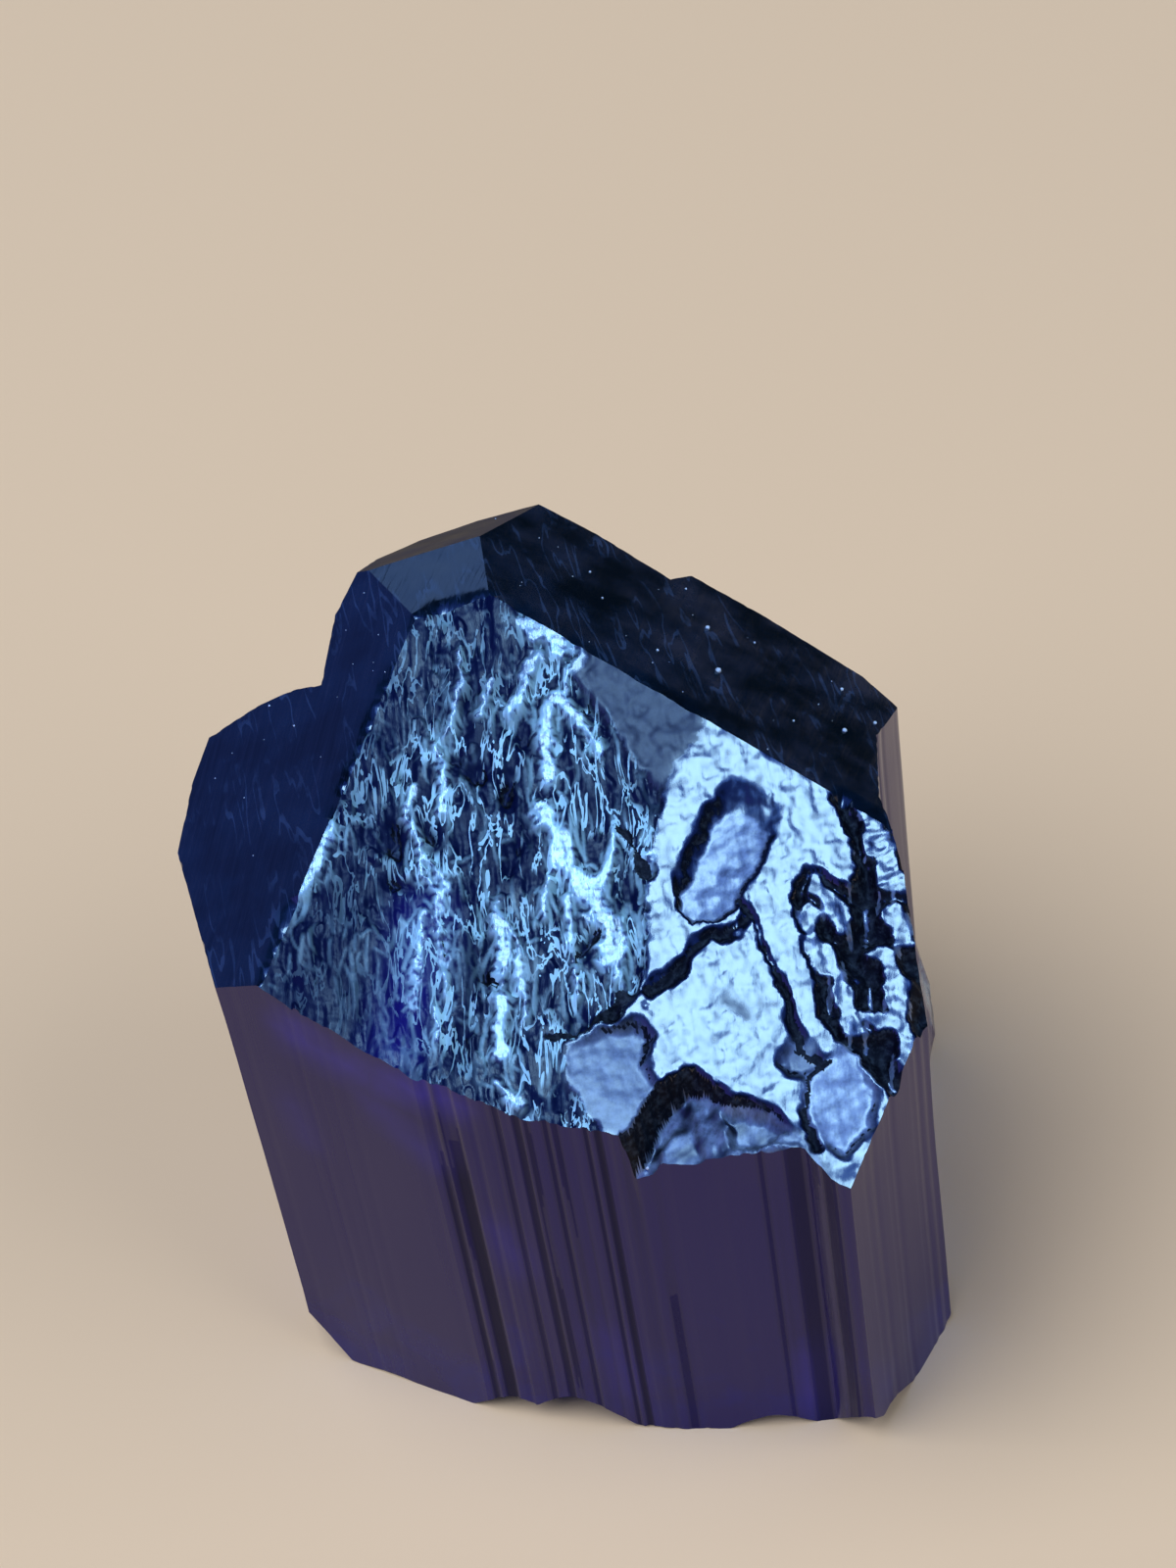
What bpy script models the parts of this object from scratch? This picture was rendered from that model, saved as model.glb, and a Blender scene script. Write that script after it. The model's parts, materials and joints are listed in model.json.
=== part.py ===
"""A stubby, dark violet scapolite crystal, built at its real size.

Scapolite is tetragonal: a square prism closed by a low four-sided pyramid. This crystal is one natural piece,
so it is one solid, and it is described as a column: a plan outline, upright walls on that outline, a roof of
pyramid facets over it and a broken base under it. The walls carry growth striations, and the large front
pyramid facet is etched: a sunken pocket, fluted channels, a scooped ledge and long ribs.

Plan coordinates are millimetres from the middle of the crystal. The broad front wall faces -Y, so the
pyramid facets face the four diagonals.
"""

import math

import bmesh
import bpy
import numpy as np
from mathutils import Vector, geometry

MM = 0.001  # one millimetre in metres
DIAGONAL = math.sqrt(0.5)

# ---------------------------------------------------------------------------------------------------------
# Driving dimensions, in millimetres

# The plan outline, anticlockwise from the front left corner.
PLAN = (
    (-9.10, -12.96),  # front left corner: the smooth front wall starts
    (-0.84, -12.96),  # the striated part of the front wall starts
    (3.15, -12.23),
    (7.14, -10.90),
    (10.22, -9.57),
    (12.80, -8.15),  # a shallow re-entrant beside the front corner
    (14.00, -8.62),
    (14.75, -8.52),  # front corner
    (15.15, -1.72),  # right wall, then a stepped run towards the right corner
    (12.63, 2.44),
    (10.56, 5.06),
    (8.68, 9.07),
    (8.33, 11.90),  # right corner
    (6.46, 12.68),
    (2.00, 12.96),  # back wall, right part
    (-1.05, 12.88),
    (-1.40, 11.72),  # a step in the back wall
    (-4.70, 11.90),
    (-7.10, 11.65),  # back corner
    (-9.30, 10.30),
    (-10.80, 8.10),
    (-11.25, 5.60),
    (-10.92, 3.84),
    (-11.15, 2.00),
    (-10.28, -0.98),  # the notch between the crystal and the lobe grown against it
    (-11.62, -1.03),
    (-13.18, -1.55),
    (-15.16, -2.63),  # left corner, on the lobe
    (-14.98, -4.60),
    (-14.13, -7.42),
    (-12.78, -8.90),
)

# Every pyramid facet leans back by the same angle. A facet is the direction that it faces in plan, its slope
# and its height over the middle of the plan.
PYRAMID_SLOPE = math.tan(math.radians(32.1))
TOP_SLOPE = math.tan(math.radians(7.0))
FACETS = {
    "front": (-45, PYRAMID_SLOPE, 26.56),
    "right": (45, PYRAMID_SLOPE, 29.70),
    "back": (135, PYRAMID_SLOPE, 35.97),
    "left": (225, PYRAMID_SLOPE, 32.67),
    "top": (135, TOP_SLOPE, 30.95),  # the small worn facet that cuts off the tip
}

# The front facet has its own coordinates: u to the right along its level lines, v up its slope.
FRONT_ZERO = -11.95  # where v = 0 runs, along the direction that the back facet faces
FRONT_STRETCH = math.cos(math.radians(32.1))  # plan distance for each unit of v

# The deep forms carved into the front facet, each an outline in (u, v) with its depth.
POCKET = (
    (2.1, 7.7), (2.5, 8.6), (3.2, 9.4), (4.0, 10.0), (5.0, 10.6), (5.6, 11.2), (6.3, 11.0), (7.0, 10.2),
    (7.4, 9.4), (6.9, 8.6), (6.0, 7.9), (5.0, 7.0), (4.3, 6.4), (3.4, 6.1), (2.6, 6.2), (2.1, 6.9),
)
CHANNELS = (
    (6.3, 6.0), (6.7, 6.6), (7.3, 6.9), (7.8, 6.6), (8.1, 6.0), (8.4, 5.6), (8.9, 6.0), (9.1, 7.0),
    (9.2, 9.2), (12.5, 9.6), (12.5, -2.5), (7.0, -2.5), (6.4, -0.6), (5.7, 0.5), (5.7, 3.4), (5.9, 4.9),
)
LEDGE = (
    (-3.1, -0.9), (-2.2, -0.4), (-1.3, 0.5), (-0.5, 0.8), (0.3, 0.8), (0.8, 0.2), (1.5, -0.5), (2.7, -1.6),
    (3.4, -2.6), (3.8, -3.9), (3.9, -7.0), (-3.1, -7.0),
)
POCKET_DEPTH, POCKET_FLOOR_TILT = 0.55, 0.12
CHANNEL_DEPTH, LEDGE_DEPTH = 0.95, 1.25

# Narrow forms on the front facet: a path in (u, v), a width, and how high it stands or how deep it is cut.
CHANNEL_RIBS = (
    (((6.7, 5.0), (6.4, 4.0), (6.6, 3.2), (6.8, 2.6), (6.6, 1.4), (6.7, 0.3)), 0.55, 0.55),
    (((7.6, 5.8), (7.6, 4.2)), 0.5, 0.6),
    (((8.7, 2.5), (8.7, 1.5), (8.3, 0.5)), 0.6, 0.6),
    (((9.6, 4.2), (9.7, 3.2)), 0.5, 0.5),
    (((10.3, 8.9), (10.2, 7.2), (10.2, 5.5)), 1.1, 0.45),
    (((7.5, 0.5), (8.4, 0.0), (8.3, -1.4)), 0.8, 0.6),
)
GROOVES = (
    (((4.2, 6.5), (4.7, 5.5), (4.6, 4.3), (4.5, 3.4), (4.9, 2.2), (4.5, 1.2), (4.3, 0.4), (5.0, -0.4)),
     0.4, 0.4),
    (((4.0, 5.6), (2.9, 5.9), (1.7, 5.2), (0.9, 4.3), (-0.4, 4.3), (-1.5, 4.4), (-2.6, 3.7), (-4.4, 3.8)),
     0.5, 0.4),
    (((5.3, -0.5), (4.2, -1.1), (3.7, -2.2)), 0.4, 0.35),
)
LONG_RIBS = (
    (((-4.7, 9.2), (-4.8, 8.0), (-5.4, 6.6), (-5.9, 5.2), (-6.3, 3.6)), 0.6, 0.3),
    (((-4.8, 16.0), (-4.6, 14.8), (-5.3, 13.2)), 0.5, 0.3),
    (((-6.6, 12.6), (-6.5, 11.3), (-6.9, 10.0), (-7.8, 8.6), (-8.6, 7.2)), 0.5, 0.28),
    (((0.4, 16.2), (-0.4, 15.3), (-0.9, 14.2), (-1.1, 13.3)), 0.5, 0.32),
    (((0.4, 16.2), (0.9, 15.2), (1.1, 13.9)), 0.5, 0.32),
    (((0.9, 18.9), (-0.2, 17.8), (-1.2, 16.8), (-1.7, 16.0)), 0.6, 0.28),
    (((-1.7, 12.1), (-1.5, 10.8), (-1.8, 9.7), (-1.1, 8.8), (-0.8, 7.4), (-1.2, 5.8)), 0.6, 0.34),
    (((0.7, 10.5), (-0.1, 9.3), (-0.8, 8.2)), 0.55, 0.34),
    (((2.1, 8.2), (1.6, 7.2), (0.8, 6.2), (0.2, 5.1)), 0.9, 0.3),
)
ETCH_DEPTH = 0.16  # how far the etched ground left of this line lies below the smooth plateaus
ETCH_EDGE = ((2.5, 22.0), (3.0, 12.5), (1.2, 8.0), (-0.2, 5.0), (-3.5, 3.5), (-4.2, 0.0), (-4.2, -3.0))
ETCH_FAR = ((-20.0, -3.0), (-20.0, 22.0))  # corners that close the etched ground's outline, off the crystal

# Striations: upright grooves in the walls, as (distance along the outline, width, depth).
STRIATIONS = (
    (9.15, 1.2, 0.16), (11.3, 0.4, 0.10), (12.1, 0.6, 0.14), (13.2, 0.4, 0.10), (14.95, 0.7, 0.16),
    (17.0, 0.4, 0.08), (21.15, 0.3, 0.08), (22.4, 0.8, 0.12), (23.9, 0.8, 0.10),
)

# The broken base: scoops out of a flat rest, as (x, y, radius, height).
BASE_SCOOPS = (
    (-9.8, -13.4, 2.4, 4.0), (0.6, -13.6, 2.3, 1.9), (3.2, -13.2, 2.9, 2.8), (10.9, -10.1, 2.0, 1.3),
    (14.7, -9.2, 2.3, 2.3), (15.8, -7.4, 2.4, 1.7), (-15.6, -3.6, 4.6, 2.4), (-8.4, 12.2, 4.2, 2.2),
    (8.9, 12.4, 4.0, 2.0), (15.4, 0.4, 2.8, 1.3), (2.5, 13.9, 2.8, 1.3), (-11.9, 5.6, 2.8, 1.5),
)

# How wide the shoulders of the carved forms are.
ETCH_SOFT, RIB_SOFT, GROOVE_SOFT = 0.8, 0.6, 0.5
POCKET_SOFT, CHANNEL_SOFT, LEDGE_SOFT, STRIATION_SOFT = 0.5, 0.6, 1.0, 0.5

# The pocket's floor is deepest at its upper left, and the ledge's floor falls to the lower left.
POCKET_MIDDLE = (3.5, 8.5)
LEDGE_FALL, LEDGE_RISE, LEDGE_LEAST = 0.51, 0.28, 0.3

# How closely the solid is divided: spacings in millimetres, and the number of steps up a wall.
FRONT_GRAIN, PLAIN_GRAIN, OUTLINE_GRAIN = 0.31, 1.6, 0.5
WALL_LEVELS = 5
PLAN_REACH = 24.0  # a distance from the middle that is beyond the crystal in every direction
EDGE_GAP, RIDGE_GAP = 0.3, 0.4  # free of inner points beside an edge or a ridge, as shares of the spacing


# ---------------------------------------------------------------------------------------------------------
# Distances in plan, for many points at once

def path_distance(points, path):
    """Distance from each point to a path of straight pieces."""
    nearest = np.full(len(points), np.inf)
    for start, end in zip(path[:-1], path[1:]):
        start, run = np.array(start), np.subtract(end, start)
        share = np.clip((points - start) @ run / (run @ run), 0, 1)
        gap = points - start - share[:, None] * run
        nearest = np.minimum(nearest, np.hypot(gap[:, 0], gap[:, 1]))
    return nearest


def outline_distance(points, outline):
    """Signed distance to a closed outline, negative inside."""
    inside = np.zeros(len(points), bool)
    x, y = points[:, 0], points[:, 1]
    for (ax, ay), (bx, by) in zip(outline, (*outline[1:], outline[0])):
        if ay == by:
            continue
        crosses = (ay > y) != (by > y)
        inside ^= crosses & (x < (bx - ax) * (y - ay) / (by - ay) + ax)
    return np.where(inside, -1, 1) * path_distance(points, (*outline, outline[0]))


def fall(distance, soft):
    """1 well inside, 0 outside, with a soft shoulder as wide as soft."""
    t = np.clip(0.5 - distance / soft, 0, 1)
    return t * t * (3 - 2 * t)


# ---------------------------------------------------------------------------------------------------------
# The roof

def facet_lean(name):
    """How fast a facet falls along x and along y."""
    turn, slope, _ = FACETS[name]
    return slope * np.array((math.cos(math.radians(turn)), math.sin(math.radians(turn))))


def facet_height(name, xy):
    return FACETS[name][2] - xy @ facet_lean(name)


def lowest_facet(xy):
    """The number of the facet that roofs each point."""
    return np.argmin([facet_height(name, xy) for name in FACETS], axis=0)


def under_front(xy):
    return lowest_facet(xy) == list(FACETS).index("front")


def front_coordinates(xy):
    u = (xy[:, 0] + xy[:, 1]) * DIAGONAL
    v = ((xy[:, 1] - xy[:, 0]) * DIAGONAL - FRONT_ZERO) / FRONT_STRETCH
    return np.column_stack((u, v))


def front_carving(uv):
    """How far the front facet is cut down at each point, always at least 0."""
    u, v = uv[:, 0], uv[:, 1]
    etched = fall(outline_distance(uv, (*ETCH_EDGE, *ETCH_FAR)), ETCH_SOFT)
    depth = ETCH_DEPTH * etched
    for path, width, height in LONG_RIBS:
        depth = depth - height * etched * fall(path_distance(uv, path) - width / 2, RIB_SOFT)
    depth = np.maximum(depth, 0)
    for path, width, height in GROOVES:
        depth = np.maximum(depth, height * fall(path_distance(uv, path) - width / 2, GROOVE_SOFT))
    rise = ((u - POCKET_MIDDLE[0]) - (v - POCKET_MIDDLE[1])) * DIAGONAL
    floor = POCKET_DEPTH - POCKET_FLOOR_TILT * rise
    depth = np.maximum(depth, floor * fall(outline_distance(uv, POCKET), POCKET_SOFT))
    channels = CHANNEL_DEPTH * fall(outline_distance(uv, CHANNELS), CHANNEL_SOFT)
    for path, width, height in CHANNEL_RIBS:
        channels = channels - height * fall(path_distance(uv, path) - width / 2, RIB_SOFT)
    depth = np.maximum(depth, channels)
    scoop = np.maximum(LEDGE_DEPTH - LEDGE_FALL * u + LEDGE_RISE * v, LEDGE_LEAST)
    return np.maximum(depth, scoop * fall(outline_distance(uv, LEDGE), LEDGE_SOFT))


def roof_height(xy):
    front = facet_height("front", xy) - front_carving(front_coordinates(xy))
    others = [facet_height(name, xy) for name in FACETS if name != "front"]
    return np.minimum.reduce([front, *others])


def ridges(grain):
    """Points along each ridge between two facets, as one chain for each ridge."""
    names, chains = list(FACETS), []
    for i, one in enumerate(names):
        for other in names[i + 1:]:
            across = facet_lean(one) - facet_lean(other)
            size = across @ across
            foot = across * (FACETS[one][2] - FACETS[other][2]) / size
            along = np.array((-across[1], across[0])) / math.sqrt(size)
            line = foot + np.arange(-PLAN_REACH, PLAN_REACH, grain)[:, None] * along
            lowest = np.min([facet_height(name, line) for name in names], axis=0)
            on_ridge = facet_height(one, line) <= lowest + MM
            if on_ridge.sum() > 1:
                chains.append(line[on_ridge])
    return chains


# ---------------------------------------------------------------------------------------------------------
# The walls and the base

def sample_outline(grain):
    """Points along the outline: its corners, even steps between them, and where a ridge of the roof ends."""
    points = []
    for start, end in zip(PLAN, (*PLAN[1:], PLAN[0])):
        start, end = np.array(start), np.array(end)
        steps = max(1, round(np.linalg.norm(end - start) / grain))
        points += [start + (end - start) * k / steps for k in range(steps)]
    points = np.array(points)
    facet, names, found = lowest_facet(points), list(FACETS), []
    for k, point in enumerate(points):
        found.append(point)
        following = (k + 1) % len(points)
        if facet[k] != facet[following]:
            ends = np.array((point, points[following]))
            gap = facet_height(names[facet[k]], ends) - facet_height(names[facet[following]], ends)
            share = gap[0] / (gap[0] - gap[1])
            if 0.1 < share < 0.9:
                found.append(point + share * (ends[1] - point))
    return np.array(found)


def outward(points):
    """The outward direction at each point of an anticlockwise loop."""
    run = np.roll(points, -1, axis=0) - np.roll(points, 1, axis=0)
    run /= np.linalg.norm(run, axis=1)[:, None]
    return np.column_stack((run[:, 1], -run[:, 0]))


def striation_depth(along):
    depth = np.zeros(len(along))
    for middle, width, deep in STRIATIONS:
        depth = np.maximum(depth, deep * fall(np.abs(along - middle) - width / 2, STRIATION_SOFT))
    return depth


def base_height(xy):
    height = np.zeros(len(xy))
    for x, y, radius, high in BASE_SCOOPS:
        reach = 1 - np.hypot(xy[:, 0] - x, xy[:, 1] - y) / radius
        height = np.maximum(height, high * np.clip(reach, 0, 1))
    return height


# ---------------------------------------------------------------------------------------------------------
# Putting the surfaces together

def net(spacing):
    """A triangular net of points over the plan."""
    rows = []
    columns = np.arange(-PLAN_REACH, PLAN_REACH, spacing)
    for row, y in enumerate(np.arange(-PLAN_REACH, PLAN_REACH, spacing * math.sqrt(0.75))):
        shift = spacing / 2 if row % 2 else 0
        rows.append(np.column_stack([columns + shift, np.full(len(columns), y)]))
    return np.concatenate(rows)


def fill(loop, inner, chains):
    """Triangles over a loop, with inner points, keeping each chain's pieces as edges."""
    points, edges = [*loop, *inner], []
    for chain in chains:
        first = len(points)
        points += list(chain)
        edges += [(first + k, first + k + 1) for k in range(len(chain) - 1)]
    made = geometry.delaunay_2d_cdt(
        [Vector(point) for point in points], edges, [list(range(len(loop)))], 1, 1e-5
    )
    return np.array([tuple(point) for point in made[0]]), made[2]


def crystal():
    """The closed mesh: roof and base over one outline, and the walls between them."""
    outline = sample_outline(OUTLINE_GRAIN)
    along = np.r_[0, np.cumsum(np.linalg.norm(np.diff(outline, axis=0), axis=1))]
    ring = outline - outward(outline) * striation_depth(along)[:, None]
    edge = tuple(map(tuple, ring))

    fine, plain = net(FRONT_GRAIN), net(PLAIN_GRAIN)
    fine = fine[under_front(fine) & (outline_distance(fine, edge) < -EDGE_GAP * FRONT_GRAIN)]
    plain = plain[outline_distance(plain, edge) < -EDGE_GAP * PLAIN_GRAIN]
    others = plain[~under_front(plain)]
    chains = []
    for chain in ridges(FRONT_GRAIN):
        chain = chain[outline_distance(chain, edge) < -EDGE_GAP * FRONT_GRAIN]
        fine = fine[path_distance(fine, chain) > RIDGE_GAP * FRONT_GRAIN]
        others = others[path_distance(others, chain) > RIDGE_GAP * PLAIN_GRAIN]
        chains.append(chain)
    roof, roof_faces = fill(ring, np.concatenate((fine, others)), chains)
    base, base_faces = fill(ring, plain, [])
    top, bottom = roof_height(roof), base_height(base)

    shape = bmesh.new()

    def add(plan_points, heights):
        return [shape.verts.new((x * MM, y * MM, z * MM)) for (x, y), z in zip(plan_points, heights)]

    roof_verts, base_verts, count = add(roof, top), add(base, bottom), len(ring)
    for face in roof_faces:
        shape.faces.new([roof_verts[k] for k in face])
    for face in base_faces:
        shape.faces.new([base_verts[k] for k in reversed(face)])
    levels = [base_verts[:count]]
    for level in range(1, WALL_LEVELS):
        share = level / WALL_LEVELS
        levels.append(add(ring, bottom[:count] + share * (top[:count] - bottom[:count])))
    levels.append(roof_verts[:count])
    for lower, upper in zip(levels[:-1], levels[1:]):
        for k in range(count):
            after = (k + 1) % count
            shape.faces.new((lower[k], lower[after], upper[after], upper[k]))
    bmesh.ops.recalc_face_normals(shape, faces=shape.faces)
    mesh = bpy.data.meshes.new("scapolite_crystal")
    shape.to_mesh(mesh)
    shape.free()
    return mesh


def violet_stone():
    """Glossy, nearly opaque dark violet."""
    material = bpy.data.materials.new("violet_scapolite")
    material.use_nodes = True
    surface = material.node_tree.nodes["Principled BSDF"]
    surface.inputs["Base Color"].default_value = (0.020, 0.014, 0.050, 1)
    surface.inputs["Roughness"].default_value = 0.16
    surface.inputs["Metallic"].default_value = 0.0
    surface.inputs["IOR"].default_value = 1.56
    return material


def main():
    for old in list(bpy.data.objects):
        bpy.data.objects.remove(old)
    piece = bpy.data.objects.new("scapolite_crystal", crystal())
    piece.data.materials.append(violet_stone())
    piece.data.shade_smooth()
    piece.data.set_sharp_from_angle(angle=math.radians(20))
    bpy.context.scene.collection.objects.link(piece)
    print(len(piece.data.polygons), "faces")


main()
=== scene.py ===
# %% [markdown]
# # A dark violet scapolite crystal
#
# Scapolite grows as a square prism closed by a low four-sided pyramid. This one is nearly black: its violet
# shows only as a tint in the walls, and its shape shows by what its faces mirror. The front pyramid facet is
# etched, so it breaks its reflection into flat bright plateaus, dark steps and a felt of fine ridges.
#
# The imported solid is loaded first. It gives the crystal's size and place, and its box caps the roof.

# %% Load the imported solid
import json
import math

import bmesh
import bpy
import numpy as np
from mathutils import Matrix, Vector, geometry

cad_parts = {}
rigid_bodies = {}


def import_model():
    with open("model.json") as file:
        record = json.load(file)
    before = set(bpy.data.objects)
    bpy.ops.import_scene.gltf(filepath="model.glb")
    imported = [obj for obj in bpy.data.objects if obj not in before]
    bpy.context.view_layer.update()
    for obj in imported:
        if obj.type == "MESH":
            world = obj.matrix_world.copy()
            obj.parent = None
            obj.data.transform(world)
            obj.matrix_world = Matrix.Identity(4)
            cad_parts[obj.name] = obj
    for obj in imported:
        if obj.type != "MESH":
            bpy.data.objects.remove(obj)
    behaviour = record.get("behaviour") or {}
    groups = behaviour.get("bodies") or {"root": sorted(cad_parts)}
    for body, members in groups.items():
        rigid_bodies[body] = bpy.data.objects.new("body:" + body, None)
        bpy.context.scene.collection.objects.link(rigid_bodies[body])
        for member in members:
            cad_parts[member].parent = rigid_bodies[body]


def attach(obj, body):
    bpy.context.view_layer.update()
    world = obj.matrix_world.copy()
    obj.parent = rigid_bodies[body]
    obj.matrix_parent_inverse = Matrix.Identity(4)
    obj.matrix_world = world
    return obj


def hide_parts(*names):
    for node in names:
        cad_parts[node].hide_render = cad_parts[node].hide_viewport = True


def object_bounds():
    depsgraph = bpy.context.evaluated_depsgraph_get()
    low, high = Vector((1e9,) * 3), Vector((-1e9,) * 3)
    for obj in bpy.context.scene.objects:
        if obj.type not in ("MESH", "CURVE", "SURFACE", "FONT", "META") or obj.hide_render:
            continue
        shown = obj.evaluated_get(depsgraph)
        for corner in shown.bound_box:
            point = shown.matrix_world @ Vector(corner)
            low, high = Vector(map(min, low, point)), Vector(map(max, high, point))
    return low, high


for leftover in list(bpy.data.objects):
    bpy.data.objects.remove(leftover)
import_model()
SOLID_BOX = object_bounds()
MM = 0.001  # one millimetre in metres
DIAGONAL = math.sqrt(0.5)
print("solid:", [f"{(high - low) / MM:.1f} mm" for low, high in zip(*SOLID_BOX)])

# %% [markdown]
# ## Camera
#
# The camera looks down on the crystal at 44 degrees, from the front right, and leans a little to one side. It
# is only 15 cm away, so the upright edges of the prism close in downwards. It could be aimed by a constraint,
# but a matrix made from the three angles keeps the roll exact.

# %% Camera
CAMERA_PLACE = (0.05416, -0.08165, 0.11804)
CAMERA_TURN, CAMERA_HEIGHT, CAMERA_ROLL = map(math.radians, (33.247, 43.664, 9.635))
CAMERA_LENS, SENSOR_WIDTH = 80.1, 36  # millimetres
NEAREST_SEEN = 0.001  # the crystal is small, so the camera sees from one millimetre on
back = Vector((
    math.sin(CAMERA_TURN) * math.cos(CAMERA_HEIGHT),
    -math.cos(CAMERA_TURN) * math.cos(CAMERA_HEIGHT),
    math.sin(CAMERA_HEIGHT),
))
level = Vector((math.cos(CAMERA_TURN), math.sin(CAMERA_TURN), 0))
down = level.cross(back)
right = math.cos(CAMERA_ROLL) * level + math.sin(CAMERA_ROLL) * down
upward = math.sin(CAMERA_ROLL) * level - math.cos(CAMERA_ROLL) * down
camera_data = bpy.data.cameras.new("camera")
camera_data.lens = CAMERA_LENS
camera_data.sensor_width = SENSOR_WIDTH
camera_data.clip_start = NEAREST_SEEN
camera = bpy.data.objects.new("camera", camera_data)
camera.matrix_world = Matrix.Translation(CAMERA_PLACE) @ Matrix((right, upward, back)).transposed().to_4x4()
bpy.context.scene.collection.objects.link(camera)
bpy.context.scene.camera = camera
print("camera is", round(Vector(CAMERA_PLACE).length / MM), "mm from the crystal's base")

# %% [markdown]
# ## Node helper and colours
#
# Each colour is written as the sRGB hex value a colour picker shows, and one function turns it to the linear
# numbers that Blender's shaders work with. One more function adds a shader node with its settings and links.

# %% Helpers for colours and nodes
def linear(hex_colour):
    """#rrggbb as linear red, green, blue and alpha."""
    shares = [int(hex_colour[k:k + 2], 16) / 255 for k in (1, 3, 5)]
    return (*[s / 12.92 if s <= 0.04045 else ((s + 0.055) / 1.055) ** 2.4 for s in shares], 1)


def add(tree, kind, settings=None, inputs=None):
    """Adds a node. settings are its properties; inputs are values for its sockets, or the sockets to link."""
    made = tree.nodes.new(kind)
    for name, value in (settings or {}).items():
        setattr(made, name, value)
    for name, value in (inputs or {}).items():
        if isinstance(value, bpy.types.NodeSocket):
            tree.links.new(value, made.inputs[name])
        else:
            made.inputs[name].default_value = value
    return made


def new_material(name):
    """An empty node material, with its output node."""
    material = bpy.data.materials.new(name)
    material.use_nodes = True
    material.node_tree.nodes.clear()
    return material, add(material.node_tree, "ShaderNodeOutputMaterial")


print("a mid grey in linear light is", round(linear("#808080")[0], 3))

# %% [markdown]
# ## Floor and lights
#
# The stand is a plain pale sheet, a little warm. A black glossy crystal shows nothing but reflections, so the
# lights are placed by mirror directions. A small pale-blue box hangs where the etched facet mirrors the
# camera: flat parts of that facet flash, and anything tilted by more than a few degrees goes dark. Two
# larger, dimmer and bluer boxes behind it give the half tones, as a bright window in a blue sky does. More
# soft boxes do the same for the left facet, the walls and the back. The side walls mostly mirror the floor,
# which has warm lights of its own: light linking keeps the two sets apart.

# %% Floor
# Uncoated paper scatters light in its fibres, so it stays matt and even, and shows no reflection.
FLOOR_REACH = 1.2  # from the middle to each side, in metres
floor_mesh = bpy.data.meshes.new("floor")
corners = [(x * FLOOR_REACH, y * FLOOR_REACH, 0) for x, y in ((-1, -1), (1, -1), (1, 1), (-1, 1))]
floor_mesh.from_pydata(corners, [], [(0, 1, 2, 3)])
floor = bpy.data.objects.new("floor", floor_mesh)
bpy.context.scene.collection.objects.link(floor)
paper, paper_out = new_material("warm_white_paper")
matte = add(paper.node_tree, "ShaderNodeBsdfPrincipled", inputs={
    "Base Color": linear("#ede3d3"), "Roughness": 0.8,
})
paper.node_tree.links.new(matte.outputs[0], paper_out.inputs["Surface"])
floor_mesh.materials.append(paper)
print("floor:", 2 * FLOOR_REACH, "m square")

# %% Lights
FACET_MIDDLE = Vector((3.0, -3.0, 22.0)) * MM
MIRROR_WAY = (0.349, -0.165, 0.92)  # where the front facet sends the camera's line of sight
ROOM_GLOW = 0.10  # of the dim room behind the lights
only_crystal = bpy.data.collections.new("lit_by_mirror_boxes")
only_floor = bpy.data.collections.new("lit_by_room_boxes")
only_floor.objects.link(floor)


def light_box(name, direction, distance, side, radiance, colour, receivers):
    """A square light that faces the etched facet from a direction. receivers are all that it lights."""
    data = bpy.data.lights.new(name, "AREA")
    data.shape = "SQUARE"
    data.size = side
    data.color = linear(colour)[:3]
    data.energy = radiance * math.pi * side * side
    lamp = bpy.data.objects.new(name, data)
    toward = Vector(direction).normalized()
    lamp.location = FACET_MIDDLE + distance * toward
    lamp.rotation_euler = toward.to_track_quat("Z", "Y").to_euler()
    bpy.context.scene.collection.objects.link(lamp)
    lamp.light_linking.receiver_collection = receivers


light_box("mirror_box", MIRROR_WAY, 0.50, 0.16, 24.0, "#b4e6ff", only_crystal)
light_box("halo_box", MIRROR_WAY, 0.54, 0.40, 5.0, "#5a92ff", only_crystal)
light_box("half_tone_box", MIRROR_WAY, 0.60, 1.00, 1.3, "#4068ff", only_crystal)
light_box("left_box", (-0.916, 0.088, 0.394), 0.60, 0.60, 0.60, "#5f7cff", only_crystal)
light_box("fill_box", (-0.30, -0.92, 0.25), 0.60, 0.80, 1.7, "#6a68ff", only_crystal)
light_box("back_box", (-0.5, 0.708, 0.5), 0.60, 0.20, 1.7, "#86b2ff", only_crystal)
light_box("overhead_box", (-0.35, -0.35, 0.87), 1.10, 1.10, 2.9, "#fff4ea", only_floor)
light_box("side_box", (0.80, 0.10, 0.60), 1.30, 1.10, 1.5, "#fff2e4", only_floor)
world = bpy.data.worlds.new("dim_room")
world.use_nodes = True
world.node_tree.nodes["Background"].inputs["Color"].default_value = linear("#5c8ab8")
world.node_tree.nodes["Background"].inputs["Strength"].default_value = ROOM_GLOW
bpy.context.scene.world = world
bpy.context.scene.view_settings.view_transform = "Standard"

# %% [markdown]
# ## The crystal as a column
#
# On the real crystal every wall is upright and every pyramid facet leans back by the same 32 degrees. So the
# shape is a column: a plan outline, a roof that takes the lowest facet at each point, and a broken base. It
# could be cut from a block plane by plane, but a column lets one height map carry all of the etching. The
# same dimensions make the solid, in millimetres from the middle of the plan.

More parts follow.
